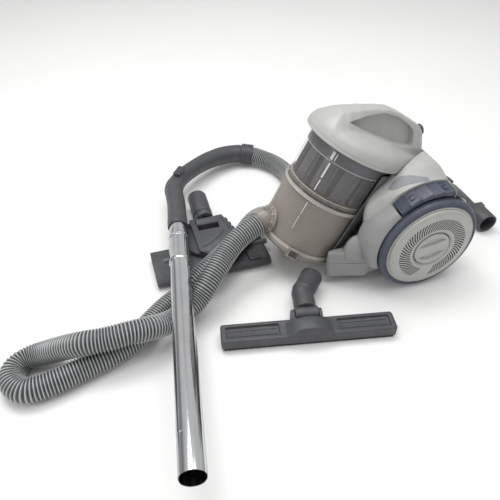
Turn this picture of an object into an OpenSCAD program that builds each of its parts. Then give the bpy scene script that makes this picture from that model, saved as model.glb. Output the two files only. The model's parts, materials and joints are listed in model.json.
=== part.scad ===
// Canister vacuum cleaner with its hose, wand, grip and floor tools laid out around it.
// +Z is up and -Y is the front of the canister. Every size is in millimetres.

/* [Wheels] */
// Outer radius of the rear tyres
tyre_r = 87.7; // [87:0.1:88.5]
// Distance between the outer faces of the two exhaust covers
overall_w = 294; // [292:1:298]
// Radius of the exhaust cover in the middle of each wheel
cover_r = 74.8; // [74:0.1:75.5]

/* [Dust bin] */
// Lean of the dust bin, backwards from upright
bin_tilt = 26.7; // [26.5:0.1:27]
// Outer radius of the clear bin tube
bin_r = 73.5; // [73:0.1:73.8]
// Wall of the clear bin tube
bin_wall = 2.4; // [2:0.1:3]
// Radius of the lid's rim
lid_r = 85; // [84.5:0.1:86]

/* [Tubes and tools] */
// Outer diameter of the wand
wand_d = 32; // [31.5:0.1:32.4]
// Wall of the wand
wand_wall = 1; // [0.8:0.1:1.2]
// Outer diameter of the ribbed hose
hose_d = 38; // [37:0.5:38]
// Length of the bare floor tool
floor_tool_len = 276; // [270:1:280]
// Length of the combination floor head
head_len = 206; // [200:1:208]

/* [Hidden] */

$fn = 96;
gap = 0.3;
axle_z = tyre_r;
tyre_out = overall_w / 2 - 7;
tyre_in = tyre_out - 28;
body_half_w = 100;
fender_out = 130;
fender_ri = tyre_r + 1.8;
fender_ro = 101;
hub_r = 70;
split_z = 62;
bin_mid = [0, -130.7, 133.9];
ring_low = -96.5;
port_z = -79;
door_pin_r = 1.8;
port_r = 17;
lid_z = 90;
grip_r = 20;
tool_socket_r = wand_d / 2 + 0.2;
wand_body_r = wand_d / 2 + 0.25;
wand_tip_len = 50;
// Middle of the floor area that the whole set covers, seen from the axle's middle
set_mid = [28.43, -122.55, 0];

// Where the hose leaves the bin's port, and the way it points there
port_end = [4.3, -247.9, 96.5];
port_dir = [0.42, -0.87, -0.26];
// The two ends of the wand's centreline: at the grip, and the open end
wand_far = [-80, -378, 48];
wand_near = [404, -454.6, 112];
wand_dir = (wand_near - wand_far) / norm(wand_near - wand_far);
wand_len = norm(wand_near - wand_far);

// Points along the hose, from the port's cuff to the grip's cuff
hose_route = [[6.8, -253.1, 95], [24, -294, 84], [44, -322, 73], [66, -345, 63],
  [84, -365, 52], [98, -383.6, 41.5], [116, -411, 36.5], [130, -439, 40], [142, -467, 52],
  [147, -496, 59], [148, -528, 58], [144, -560, 55.5], [131, -591, 41], [119, -618, 25.5],
  [116, -637, 20], [121, -654, 19.2], [135, -665, 19.2], [152.5, -665.5, 19.2], [167, -656, 19.2],
  [173.5, -640, 19.2], [170, -610, 19.2], [160, -572, 19.2], [148, -530, 19.2], [129, -491, 19.2],
  [104, -463, 19.2], [80, -435, 19.2], [59.5, -404, 20.5], [44, -374, 30], [28, -346, 38],
  [6.5, -318.3, 38.4], [-15.7, -292, 38.4], [-38, -266, 38.4], [-64, -243, 38.4], [-86, -220, 32],
  [-101, -194, 22], [-115, -167, 19.2], [-137, -143, 19.2], [-166, -122, 19.2],
  [-200, -109, 19.2], [-240, -108, 19.2], [-282, -124, 20.5], [-319, -158, 24.6]];

// Places a child in the set, whose origin is the middle of the area it covers
module in_set() translate(-set_mid) children();

// A disc and a ring about the X axis, from x0 to x1, centred on y and z
module disc_x(r, x0, x1, y = 0, z = 0)
  translate([x0, y, z]) rotate([0, 90, 0]) cylinder(r = r, h = x1 - x0);
module ring_x(ro, ri, x0, x1, y = 0, z = 0)
  difference() {
    disc_x(ro, x0, x1, y, z);
    disc_x(ri, x0 - 1, x1 + 1, y, z);
  }

// The bin's own frame: Z runs up its axis, -Y faces the front
module in_bin() translate(bin_mid) rotate([-bin_tilt, 0, 0]) children();

// Turns Z onto a direction
module aim(d) rotate([0, acos(d[2] / norm(d)), atan2(d[1], d[0])]) children();

// A tube from point p along direction d
module tube_from(p, d, len, ro, ri)
  translate(p) aim(d) difference() {
    cylinder(r = ro, h = len);
    translate([0, 0, -1]) cylinder(r = ri, h = len + 2);
  }

// A plate in the YZ plane, from x0 to x1
module side_plate(points, x0, x1)
  translate([x0, 0, 0]) rotate([90, 0, 90]) linear_extrude(x1 - x0) polygon(points);

// Keeps the part of a wheel-centred shape between two angles from upright, front positive
module arc_sector(a0, a1, reach = 160)
  translate([0, 0, axle_z]) rotate([90, 0, 90]) linear_extrude(400, center = true)
    polygon(concat([[0, 0]], [for (i = [0:8]) let (a = a0 + (a1 - a0) * i / 8)
      reach * [-sin(a), cos(a)]]));

// Points of a smooth curve through a route
function spline(p, i, t) =
  let (a = p[max(i - 1, 0)], b = p[i], c = p[i + 1], d = p[min(i + 2, len(p) - 1)])
  0.5 * (2 * b + (c - a) * t + (2 * a - 5 * b + 4 * c - d) * t * t
    + (3 * b - a - 3 * c + d) * t * t * t);
function unit(v) = v / norm(v);
function rings_along(route, steps) = concat([for (i = [0:len(route) - 2], s = [0:steps - 1])
  spline(route, i, s / steps)], [route[len(route) - 1]]);

// A round bar swept along a line of ring centres, square to first_dir and last_dir at its ends
module swept(line, first_dir, last_dir, r, sides) {
  rings = len(line);
  points = [for (i = [0:rings - 1]) let (d = i == 0 ? unit(first_dir) : i == rings - 1
      ? unit(last_dir) : unit(line[i + 1] - line[i - 1]),
      u = unit(cross([0, 0, 1], d)), v = cross(d, u))
    for (k = [0:sides - 1]) let (a = 360 * (k + 0.5) / sides)
      line[i] + r * (cos(a) * u + sin(a) * v)];
  faces = concat([[for (k = [sides - 1:-1:0]) k]],
    [[for (k = [0:sides - 1]) (rings - 1) * sides + k]],
    [for (i = [0:rings - 2], k = [0:sides - 1]) let (m = (k + 1) % sides, a = i * sides)
      each [[a + k, a + m, a + sides + k], [a + m, a + sides + m, a + sides + k]]]);
  polyhedron(points, faces);
}

side_outline = [[-75, split_z], [-95, 92], [-107, 122], [-108, 158], [-98, 166], [-72, 176],
  [-40, 186], [5, 187], [33, 178], [62, 160], [84, 134], [93, 104], [92, 80], [86, split_z]];
crown_outline = [[-60, 150], [-44, 196], [5, 205], [30, 200], [44, 192], [56, 164], [84, 134],
  [40, 120]];
shell_wall = 3;

module bin_clearance(r, low = -130, high = 160) in_bin() translate([0, 0, low])
  cylinder(r = r, h = high - low);

module lid_clearance() in_bin() {
  translate([0, 0, lid_z - 2]) cylinder(r = lid_r + 5, h = 100);
  translate([-34, 0, 110.5]) cube([68, 150, 60]);
}

module at_cord_outlet() translate([80, 47, 169.3]) rotate([-32, 0, 0]) children();

module lower_chassis() {
  tub_outline = [[-78, 16], [60, 24], [80, 40], [86, split_z - gap], [-75, split_z - gap],
    [-86, 40], [-84, 18]];
  skirt = [[0, -88], [99.7, -80], [99.7, -112], [90, -151], [84, -156], [79, -151], [76, -120],
    [60, -98], [0, -92]];
  color("lightgray") in_set() difference() {
    union() {
      side_plate(tub_outline, -body_half_w, body_half_w);
      for (s = [0, 1]) mirror([s, 0, 0]) translate([0, 0, 16])
        linear_extrude(52 - 16) polygon(skirt);
    }
    difference() {
      side_plate([[-70, 20], [55, 28], [74, 43], [80, 70], [-68, 70]],
        -body_half_w + shell_wall, body_half_w - shell_wall);
      for (s = [-1, 1]) translate([s * 70 - 14, -75, 10]) cube([28, 30, 24]);
    }
    bin_clearance(bin_r + 7.4);
    for (s = [-1, 1]) {
      translate([s * 82, -104, 0]) cylinder(r = 19, h = 34);
      translate([s * 82, -104, 0]) cylinder(r = 4.06, h = 48);
      translate([s * 60, 40, 0]) cylinder(r = 2, h = 60);
    }
    for (s = [-1, 1]) disc_x(hub_r + 3, s * 96 - 10, s * 96 + 10, 0, axle_z);
  }
}

module upper_body() color("silver") in_set() difference() {
  union() {
    side_plate(side_outline, -body_half_w, body_half_w);
    side_plate(crown_outline, -64, 64);
  }
  side_plate([for (p = side_outline) [p[0] * 0.955, 60 + (p[1] - 60) * 0.955 - 1]],
    -body_half_w + shell_wall, body_half_w - shell_wall);
  side_plate([[-52, 150], [-40, 190], [4, 200], [28, 195], [40, 188], [52, 162], [40, 121]],
    -61, 61);
  bin_clearance(bin_r + 6);
  lid_clearance();
  for (s = [-1, 1]) disc_x(hub_r + 3, s * 96 - 10, s * 96 + 10, 0, axle_z);
  at_cord_outlet() translate([0, 0, -20]) cylinder(r = 7.06, h = 40);
}

module fender(side) color("silver") in_set() mirror([side < 0 ? 1 : 0, 0, 0]) {
  intersection() {
    ring_x(fender_ro, fender_ri, body_half_w, fender_out, 0, axle_z);
    difference() {
      arc_sector(-18, 112);
      intersection() {
        arc_sector(-15.8, 41.4);
        disc_x(200, body_half_w + 2, 200, 0, axle_z);
      }
    }
  }
}
module left_fender() fender(1);
module right_fender() fender(-1);

// A foot pedal that lies along the top of the fender, with pressed ribs across it
module pedal(side) color("slategray") in_set() mirror([side < 0 ? 1 : 0, 0, 0]) difference() {
  intersection() {
    ring_x(103, 94, body_half_w + 2.8, fender_out, 0, axle_z);
    arc_sector(-14.4, 40.4);
  }
  for (a = [-1, 9, 19, 29]) translate([0, 0, axle_z]) rotate([a, 0, 0])
    translate([body_half_w + 8, -0.8, 101.2]) cube([fender_out - body_half_w - 14, 1.6, 4]);
  translate([0, 0, axle_z]) rotate([38, 0, 0]) translate([90, 0, 97])
    rotate([0, 90, 0]) cylinder(r = 2, h = 60);
}
module left_pedal() pedal(1);
module right_pedal() pedal(-1);

module bin_cradle() color("gray") in_set() intersection() {
  in_bin() difference() {
    translate([0, 0, -90]) cylinder(r = bin_r + 5.4, h = 172);
    translate([0, 0, -91]) cylinder(r = bin_r + 3.2, h = 174);
    translate([-100, -130, -100]) cube([200, 154, 300]);
    translate([-18, 0, 30]) cube([36, 100, 26]);
    translate([-17, 0, -91]) cube([34, 100, 71]);
  }
  translate([-100, -200, 19]) cube([200, 300, 300]);
}

module motor_can() color("dimgray") in_set() difference() {
  disc_x(40, -8, 70, 14, 84);
  disc_x(5.05, -9, 71, 14, 84);
  disc_x(32, -1, 63, 14, 84);
}
module fan_housing() color("gray") in_set() difference() {
  disc_x(46, -44, -8.3, 14, 84);
  disc_x(43, -41, -11, 14, 84);
  disc_x(14, -45, -40, 14, 84);
  disc_x(5.2, -12, -8, 14, 84);
}
module motor_seals() color("black") in_set() {
  ring_x(41.5, 40, 10, 18, 14, 84);
  ring_x(41.5, 40, 48, 56, 14, 84);
  ring_x(19, 14.2, -48, -44.1, 14, 84);
}
module fan_rotor() color("silver") in_set() {
  disc_x(5, -30, 72, 14, 84);
  disc_x(28, 8, 52, 14, 84);
  disc_x(40, -34, -30, 14, 84);
  for (k = [0:7]) translate([0, 14, 84]) rotate([k * 45, 0, 0])
    translate([-30.5, 8, -1]) cube([14, 30, 2]);
}
module inlet_duct() color("gray") in_set() difference() {
  union() {
    disc_x(19, -62, -48.2, 14, 84);
    translate([-62, -4, 84]) cube([13.8, 36, 82]);
  }
  disc_x(14.5, -60, -48, 14, 84);
  translate([-60, -2, 86]) cube([9.8, 32, 90]);
}
module cord_reel() color("dimgray") in_set() difference() {
  union() {
    disc_x(24, 75, 93, 12, 104);
    disc_x(50, 75, 77, 12, 104);
    disc_x(50, 91, 93, 12, 104);
  }
  disc_x(4.05, 70, 100, 12, 104);
}
module reel_bracket() color("gray") in_set() {
  disc_x(4, 74.2, 96.9, 12, 104);
  difference() {
    translate([72, -8, 34]) cube([2.2, 40, 78]);
    disc_x(5.6, 71, 74.3, 14, 84);
  }
}
module cord_outlet() color("dimgray") in_set() at_cord_outlet() difference() {
  union() {
    translate([0, 0, -14]) cylinder(r = 7, h = 16);
    translate([0, 0, 1.2]) cylinder(r = 10, h = 3.8);
  }
  translate([0, 0, -15]) cylinder(r = 4, h = 30);
}
module chassis_screws() color("gray") in_set() for (s = [-1, 1]) translate([s * 60, 40, 20]) {
  cylinder(r = 1.9, h = 24);
  cylinder(r = 3.5, h = 2);
}

module hub_drum(side) color("gray") in_set() mirror([side < 0 ? 1 : 0, 0, 0]) difference() {
  disc_x(hub_r, body_half_w + 0.2, tyre_out - 0.6, 0, axle_z);
  disc_x(hub_r - 5, body_half_w + 6, tyre_out, 0, axle_z);
  disc_x(30, 90, tyre_out, 0, axle_z);
}
module left_hub_drum() hub_drum(1);
module right_hub_drum() hub_drum(-1);
module exhaust_filter(side) color("white") in_set() mirror([side < 0 ? 1 : 0, 0, 0])
  ring_x(hub_r - 5.3, 12, body_half_w + 10, tyre_out - 10, 0, axle_z);
module left_exhaust_filter() exhaust_filter(1);
module right_exhaust_filter() exhaust_filter(-1);

// A vented cover that twists off the hub drum, with a knob in its middle
module exhaust_cover(side) color("silver") in_set() mirror([side < 0 ? 1 : 0, 0, 0])
  translate([0, 0, axle_z]) difference() {
    union() {
      disc_x(cover_r, tyre_out + 0.4, tyre_out + 4.5);
      disc_x(cover_r - 9, tyre_out + 4, overall_w / 2);
    }
    ring_x(34, 32, overall_w / 2 - 2, overall_w / 2 + 1);
    for (s = [-1, 1]) intersection() {
      disc_x(40, overall_w / 2 - 4, overall_w / 2 + 1, 0, s * 21 + s * 24);
      disc_x(28, overall_w / 2 - 4, overall_w / 2 + 1);
    }
    for (k = [-20:20]) rotate([k * 8, 0, 0]) translate([120, -1, 38]) cube([40, 2, 20]);
  }
module left_exhaust_cover() exhaust_cover(1);
module right_exhaust_cover() exhaust_cover(-1);

module wheel_rim(side) color("silver") in_set() mirror([side < 0 ? 1 : 0, 0, 0])
  ring_x(78, hub_r + 0.05, tyre_in, tyre_out - 0.2, 0, axle_z);
module left_wheel_rim() wheel_rim(1);
module right_wheel_rim() wheel_rim(-1);
module tyre(side) color("slategray") in_set() mirror([side < 0 ? 1 : 0, 0, 0])
  translate([tyre_in, 0, axle_z]) rotate([0, 90, 0]) rotate_extrude()
    polygon([[78, 1], [tyre_r - 4, 1], [tyre_r, 5], [tyre_r, 21], [tyre_r - 1.2, 24.5],
      [tyre_r - 4, 27], [78, 27.8]]);
module left_tyre() tyre(1);
module right_tyre() tyre(-1);

module caster_yoke(side) color("dimgray") in_set() mirror([side < 0 ? 1 : 0, 0, 0])
  translate([82, -104, 0]) difference() {
    union() {
      translate([0, 0, 23]) cylinder(r = 13, h = 4);
      translate([0, 0, 26]) cylinder(r = 4, h = 21);
      for (s = [-1, 1]) translate([s * 8 - 1.5, -2, 7]) cube([3, 12, 17]);
    }
    disc_x(1.55, -20, 20, 5, 11);
  }
module left_caster_yoke() caster_yoke(1);
module right_caster_yoke() caster_yoke(-1);
module caster_wheel(side) color("slategray") in_set() mirror([side < 0 ? 1 : 0, 0, 0])
  translate([82, -99, 11]) union() {
    disc_x(11 - 0.02, -5.5, 5.5);
    disc_x(1.5, -9.4, 9.4);
  }
module left_caster_wheel() caster_wheel(1);
module right_caster_wheel() caster_wheel(-1);

module bin_tube() color("tan", 0.5) in_set() in_bin() difference() {
  translate([0, 0, ring_low + 0.6]) cylinder(r = bin_r, h = lid_z - ring_low - 1);
  translate([0, 0, ring_low - 1]) cylinder(r = bin_r - bin_wall, h = lid_z - ring_low + 2);
  translate([0, -60, port_z]) rotate([90, 0, 0]) cylinder(r = port_r - 2.4, h = 30);
}
module below_the_tube() in_bin() translate([-60, -160, ring_low - 59.5]) cube([120, 120, 60]);
module bin_port() color("tan", 0.5) in_set() {
  difference() {
    in_bin() translate([0, 0, port_z]) rotate([90, 0, 0]) cylinder(r = port_r, h = 87);
    in_bin() translate([0, 0, port_z]) rotate([90, 0, 0]) cylinder(r = port_r - 2.4, h = 90);
    bin_clearance(bin_r + 0.02);
    translate(port_end) aim(port_dir) translate([0, 0, -0.01]) cylinder(r = 60, h = 60);
    translate(port_end) aim(port_dir) translate([0, 0, -16]) cylinder(r = port_r - 2.4, h = 20);
    below_the_tube();
  }
  difference() {
    translate(port_end) aim(port_dir) translate([0, 0, -14]) cylinder(r = port_r + 2, h = 14);
    translate(port_end) aim(port_dir) translate([0, 0, -20]) cylinder(r = port_r - 2.4, h = 30);
    in_bin() translate([0, 0, port_z]) rotate([90, 0, 0]) cylinder(r = port_r, h = 87);
    bin_clearance(bin_r + 0.02);
    below_the_tube();
  }
}
module bin_mid_ring() color("white") in_set() in_bin() difference() {
  translate([0, 0, -2.5]) cylinder(r = bin_r + 1.6, h = 6);
  translate([0, 0, -3]) cylinder(r = bin_r, h = 8);
}
module bin_door() color("tan", 0.5) in_set() in_bin() translate([0, 0, ring_low]) {
  rotate_extrude() polygon(concat([for (i = [0:8]) [i * 9.1, -20 + 14 * pow(i / 8, 5)]],
    [[bin_r + 1.6, -4], [bin_r + 1.6, 0], [bin_r - 2.6, 0], [bin_r - 2.6, -3.6]],
    [for (i = [7:-1:0]) [i * 9.1, -17.4 + 13 * pow(i / 8, 5)]]));
  disc_x(door_pin_r, -13, 13, bin_r + 0.9, -2);
}
module door_latch() color("tan") in_set() in_bin() translate([0, 0, ring_low]) rotate([0, 0, -32])
  translate([bin_r + 2, -11, -9]) difference() {
    cube([5, 22, 17]);
    for (k = [0:4]) translate([3.8, 2 + k * 4, 3]) cube([2, 2, 11]);
  }
module cyclone_cones() color("slategray") in_set() in_bin() {
  translate([0, 0, 60]) cylinder(r = 62, h = 22);
  for (k = [0:7]) rotate([0, 0, k * 45]) translate([44, 0, 6]) cylinder(r1 = 7, r2 = 15, h = 54);
  translate([0, 0, 20]) cylinder(r = 22, h = 41);
}
module cyclone_shroud() color("gray") in_set() in_bin() difference() {
  translate([0, 0, -52]) cylinder(r = 31, h = 56);
  translate([0, 0, -49]) cylinder(r = 28.5, h = 60);
  for (k = [0:17], j = [0:2]) rotate([0, 0, k * 20]) translate([26, -2, -40 + j * 14])
    cube([10, 4, 9]);
}
module lid_gasket() color("indianred") in_set() in_bin() difference() {
  translate([0, 0, lid_z - 0.3]) cylinder(r = bin_r + 1.2, h = 2.2);
  translate([0, 0, lid_z - 1]) cylinder(r = bin_r - 4, h = 4);
}
module premotor_filter() color("white") in_set() in_bin()
  translate([0, 0, 82.4]) cylinder(r = 60, h = 14);

handle_outline = [[-78, 108], [-75, 130], [-60, 137.5], [-44, 144.5], [-25, 152], [2, 161.5],
  [20, 166.4], [43, 166.2], [73, 163], [92, 160], [103, 155], [126, 129], [134, 114],
  [100, 112.8], [60, 108]];
finger_slot = [[-44, 128], [-14, 146.5], [13, 158.5], [40, 160], [68, 154.5], [81, 147.5],
  [90, 128], [60, 123], [0, 125]];
slot_web = [[-13, 120], [13, 120], [4, 162], [-4, 162]];
module at_button() translate([0, 93, 149]) rotate([-45, 0, 0]) children();
module bin_lid() color("lightgray") in_set() in_bin() difference() {
  union() {
    intersection() {
      translate([0, 0, lid_z + 2]) cylinder(r = lid_r, h = 60);
      side_plate([[-90, 0], [90, 0], [90, 114], [60, 121], [-10, 124], [-50, 127], [-72, 124],
        [-80, 114], [-88, 99]], -90, 90);
    }
    side_plate(handle_outline, -17, 17);
    translate([0, 0, lid_z + 2]) cylinder(r = lid_r, h = 4);
  }
  translate([0, 0, lid_z + 1]) cylinder(r = bin_r + 2, h = 9);
  difference() {
    side_plate(finger_slot, -60, 60);
    translate([0, 100, 0]) rotate([90, 0, 0]) linear_extrude(150) polygon(slot_web);
  }
  at_button() translate([-9, 0, 0]) cube([18, 12.6, 30]);
}
module lid_button() color("slategray") in_set() in_bin() at_button()
  translate([-8.6, 0.6, 3.6]) cube([17.2, 11.4, 9.6]);

hose_rings = rings_along(hose_route, 2);
end_dir = unit([-0.42, -0.9, 0.05]);
module hose() color("dimgray") in_set()
  swept(hose_rings, port_dir, end_dir, hose_d / 2, 12);
hose_start = hose_rings[0];
hose_end = hose_rings[len(hose_rings) - 1];
cuff_start = 1.5;
module hose_bin_cuff() color("tan") in_set()
  tube_from(port_end + cuff_start * unit(port_dir), port_dir,
    norm(hose_start - port_end) - cuff_start - gap, port_r + 1.6, port_r - 2.4);
grip_cuff_len = 26;
module hose_grip_cuff() color("black") in_set() difference() {
  tube_from(hose_end + gap * end_dir, end_dir, grip_cuff_len - gap, 22.5, 15);
  for (k = [0:11]) translate(hose_end) aim(end_dir) rotate([0, 0, k * 30])
    translate([21.4, -1.5, 3]) cube([3, 3, grip_cuff_len - 6]);
}
grip_end = hose_end + (grip_cuff_len + gap) * end_dir;
grip_route = [grip_end, [-327, -222, 30], [-303, -273, 36], [-257, -328, 42],
  [-211, -358, 45.5], [-150, -366.8, 46], wand_far];
module grip() color("dimgray") in_set()
  swept(rings_along(grip_route, 3), end_dir, wand_dir, grip_r, 24);
module grip_spigot() color("gray") in_set()
  tube_from(wand_far, wand_dir, 46, wand_d / 2 - wand_wall - 0.1, 12);
module bleed_slider() color("black") in_set() translate([-236, -342, 65.4]) rotate([0, 0, -37])
  difference() {
    translate([-14, -7, 0]) cube([28, 14, 5]);
    for (k = [-2:2]) translate([k * 5 - 1, -8, 3.6]) cube([2, 16, 2]);
  }

module wand() color("silver") in_set() {
  tube_from(wand_far + gap * wand_dir, wand_dir, wand_len - gap, wand_d / 2,
    wand_d / 2 - wand_wall);
  tube_from(wand_far + gap * wand_dir, wand_dir, wand_len - wand_tip_len - gap, wand_body_r,
    wand_d / 2 - wand_wall / 2);
}
module wand_sleeve() color("silver") in_set() {
  tube_from(wand_far + 36 * wand_dir, wand_dir, 5, wand_d / 2 + 1.6, wand_body_r);
  tube_from(wand_far + 110 * wand_dir, wand_dir, 5, wand_d / 2 + 1.3, wand_body_r);
}

// A socket for the wand's tip, closed over the first part of its length
module blind_socket(p, d, len, closed) translate(p) aim(d) difference() {
  cylinder(r = tool_socket_r + 3, h = len);
  translate([0, 0, closed]) cylinder(r = tool_socket_r, h = len);
}

// The bare floor tool: a long low bar with a bent neck
module at_floor_tool() translate([186.5, -227.5, 0]) rotate([0, 0, 78.6]) children();
module floor_tool() color("dimgray") in_set() at_floor_tool() difference() {
  union() {
    translate([-floor_tool_len / 2, -18, 4]) cube([floor_tool_len, 36, 18]);
    translate([0, 0, 4]) intersection() {
      rotate([90, 0, 0]) cylinder(r = 38, h = 40, center = true);
      translate([-40, -18, 0]) cube([80, 50, 34]);
    }
  }
  for (s = [-1, 1]) translate([s * 88 - 42, -11, 18]) cube([84, 22, 6]);
  translate([-floor_tool_len / 2 + 4, -10, 3]) cube([floor_tool_len - 8, 20, 8]);
  translate([-19.4, 5.5, 0]) cube([38.8, 60, 60]);
  translate([-19.4, 0, 0]) disc_x(26, 0, 38.8, 24, 24);
  disc_x(3.05, -60, 60, 24, 24);
}
module floor_tool_brush() color("black") in_set() at_floor_tool() for (y = [-17, 11])
  translate([-floor_tool_len / 2 + 3, y, 0]) cube([floor_tool_len - 6, 6, 4]);
neck_pivot = [0, 24, 24];
module floor_tool_neck() color("dimgray") in_set() at_floor_tool() {
  translate(neck_pivot) difference() {
    union() {
      disc_x(12, -18.8, 18.8);
      disc_x(3, -36, 36);
      aim([0.04, 1, 0.02]) translate([0, 0, 6]) cylinder(r = 18, h = 38);
    }
    translate([-40, -30, -30]) cube([80, 22, 60]);
  }
  blind_socket(neck_pivot + [1.7, 43.5, 1], [0.5, 0.86, -0.08], 48, 12);
}

// The combination floor head: a low base with a wedge cover and a long neck
module at_head() translate([-16, -333, 0]) rotate([0, 0, 90]) children();
head_pivot = [13, 86, 25];
head_pedal_at = [64, -28, 14];
module head_base() color("dimgray") in_set() at_head() difference() {
  side_plate([[-34, 6], [-30, 3], [40, 3], [46, 8], [46, 18], [-28, 18], [-34, 14]],
    -head_len / 2, head_len / 2);
  for (y = [-24, 12]) translate([-head_len / 2 + 6, y - 0.3, 2]) cube([head_len - 12, 6.6, 9]);
  for (s = [-1, 1]) translate([s * 40 - 11, 31, 2]) cube([22, 14, 11]);
  disc_x(1.56, -54, 54, 38, 5.5);
  translate(head_pedal_at) cube([24.8, 24.8, 10]);
}
module head_cover() color("gray") in_set() at_head() difference() {
  translate([0, 0, 18.3]) linear_extrude(15.7) polygon([[0, -8], [50, 34], [57, 48], [46, 98],
    [-32, 98], [-50, 50], [-46, 30]]);
  translate([-70, -20, 26.2]) cube([52, 140, 20]);
  translate(head_pivot + [-20.4, -24, -20]) cube([40.8, 60, 60]);
  translate(head_pivot) disc_x(4.05, -60, 60);
}
module head_pedal() color("black") in_set() at_head() translate(head_pedal_at) difference() {
  translate([0.4, 0.4, 3.2]) cube([24, 24, 5.2]);
  for (k = [0:3]) translate([2, 3 + k * 5.2, 7.4]) cube([20.8, 2, 2]);
}
module head_brush() color("black") in_set() at_head() for (y = [-24, 12])
  translate([-head_len / 2 + 6.4, y, 2.6]) cube([head_len - 12.8, 6, 8]);
module head_rollers() color("black") in_set() at_head() {
  for (s = [-1, 1]) disc_x(5.5, s * 40 - 9, s * 40 + 9, 38, 5.5);
  disc_x(1.5, -53, 53, 38, 5.5);
}
module head_neck() color("dimgray") in_set() at_head() translate(head_pivot) {
  difference() {
    union() {
      disc_x(14, -20, 20);
      disc_x(4, -30, 30);
    }
    translate([-30, -40, -30]) cube([60, 30, 60]);
  }
  tube_from([0, 13.2, 0], [-0.05, 1, -0.02], 14.2, 18, 10);
  blind_socket([-0.7, 27.2, -0.3], [0.05, 1, -0.02], 64, 5);
}

// A flat crevice nozzle
module crevice_tool() color("dimgray") in_set() translate([52, 202, 19.6]) rotate([0, 0, 178])
  difference() {
    union() {
      disc_x(tool_socket_r + 3, 0, 44);
      translate([38, -19, -19.4]) cube([86, 38, 16]);
      translate([38, -16, -16]) cube([12, 32, 30]);
    }
    disc_x(tool_socket_r, -1, 37);
    translate([36, -15, -16.4]) cube([100, 30, 10]);
  }

lower_chassis();
upper_body();
left_fender();
right_fender();
bin_cradle();
motor_can();
fan_housing();
motor_seals();
fan_rotor();
inlet_duct();
cord_reel();
reel_bracket();
cord_outlet();
chassis_screws();
left_hub_drum();
right_hub_drum();
left_exhaust_filter();
right_exhaust_filter();
left_exhaust_cover();
right_exhaust_cover();
left_wheel_rim();
right_wheel_rim();
left_tyre();
right_tyre();
left_pedal();
right_pedal();
left_caster_yoke();
right_caster_yoke();
left_caster_wheel();
right_caster_wheel();
bin_tube();
bin_port();
bin_mid_ring();
bin_door();
door_latch();
cyclone_cones();
cyclone_shroud();
lid_gasket();
premotor_filter();
bin_lid();
lid_button();
hose();
hose_bin_cuff();
hose_grip_cuff();
grip();
grip_spigot();
bleed_slider();
wand();
wand_sleeve();
floor_tool();
floor_tool_brush();
floor_tool_neck();
head_base();
head_cover();
head_brush();
head_pedal();
head_neck();
head_rollers();
crevice_tool();
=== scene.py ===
# Canister vacuum cleaner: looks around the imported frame. Lengths in the geometry code are in
# millimetres, seen from the middle of the wheel axle on the floor, and put() turns them into the scene.
import bpy
import bmesh
import json
import math
import random
from mathutils import Matrix, Vector
from mathutils.bvhtree import BVHTree

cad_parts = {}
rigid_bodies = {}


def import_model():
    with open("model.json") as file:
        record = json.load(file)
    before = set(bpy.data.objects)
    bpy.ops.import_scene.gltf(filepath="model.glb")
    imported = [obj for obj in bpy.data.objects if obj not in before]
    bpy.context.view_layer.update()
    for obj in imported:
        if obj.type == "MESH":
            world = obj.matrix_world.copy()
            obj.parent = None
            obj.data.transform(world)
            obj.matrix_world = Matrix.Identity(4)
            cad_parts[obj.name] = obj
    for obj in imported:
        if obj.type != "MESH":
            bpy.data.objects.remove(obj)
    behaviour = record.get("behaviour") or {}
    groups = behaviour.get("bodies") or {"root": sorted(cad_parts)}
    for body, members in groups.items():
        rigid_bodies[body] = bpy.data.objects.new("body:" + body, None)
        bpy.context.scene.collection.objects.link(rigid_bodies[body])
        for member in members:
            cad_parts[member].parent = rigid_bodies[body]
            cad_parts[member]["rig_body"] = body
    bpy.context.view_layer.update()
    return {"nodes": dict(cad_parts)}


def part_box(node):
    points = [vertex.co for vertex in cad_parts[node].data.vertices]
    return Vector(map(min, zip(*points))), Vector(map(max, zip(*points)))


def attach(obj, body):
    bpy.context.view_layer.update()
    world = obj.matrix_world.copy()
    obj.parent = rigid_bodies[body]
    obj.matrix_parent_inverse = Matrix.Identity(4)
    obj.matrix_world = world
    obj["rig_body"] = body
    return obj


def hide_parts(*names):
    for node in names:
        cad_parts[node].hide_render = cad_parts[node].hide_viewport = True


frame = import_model()
nodes = frame["nodes"]
random.seed(7)

left_low, left_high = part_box("left_tyre")
right_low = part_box("right_tyre")[0]
ORIGIN = Vector(((left_high.x + right_low.x) / 2, (left_low.y + left_high.y) / 2, 0))


def put(p):
    """A point in millimetres from the axle's middle, turned into the scene's metres."""
    return Vector((p[0] / 1000 + ORIGIN.x, p[1] / 1000 + ORIGIN.y, p[2] / 1000))


TILT = math.radians(26.7)
BIN_MID = Vector((0, -130.7, 133.9))
BIN_ROT = Matrix.Rotation(-TILT, 3, "X")


def in_bin(p):
    """A point of the bin's own frame, in millimetres, where Z runs up the bin."""
    return BIN_ROT @ Vector(p) + BIN_MID


# ---------------------------------------------------------------- camera
# a pinhole fitted to the near wheel, the bin's rings, the wand and the floor tool of the photograph
cam_data = bpy.data.cameras.new("camera")
cam_data.lens = 36.41
cam_data.sensor_width = 36
cam_data.clip_end = 50
camera = bpy.data.objects.new("camera", cam_data)
bpy.context.scene.collection.objects.link(camera)
look = Vector((-0.70979, 0.22559, -0.66732))
right = Vector((0.30163, 0.95342, 0.00148))
down = Vector((0.63657, -0.20023, -0.74477))
m = Matrix((right, -down, -look)).transposed().to_4x4()
m.translation = put((642.2, -469.0, 635.9))
camera.matrix_world = m
bpy.context.scene.camera = camera


# ---------------------------------------------------------------- mesh tools
def new_object(name, mesh):
    """Puts a mesh into the scene under a name."""
    o = bpy.data.objects.new(name, mesh)
    bpy.context.scene.collection.objects.link(o)
    return o


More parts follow.
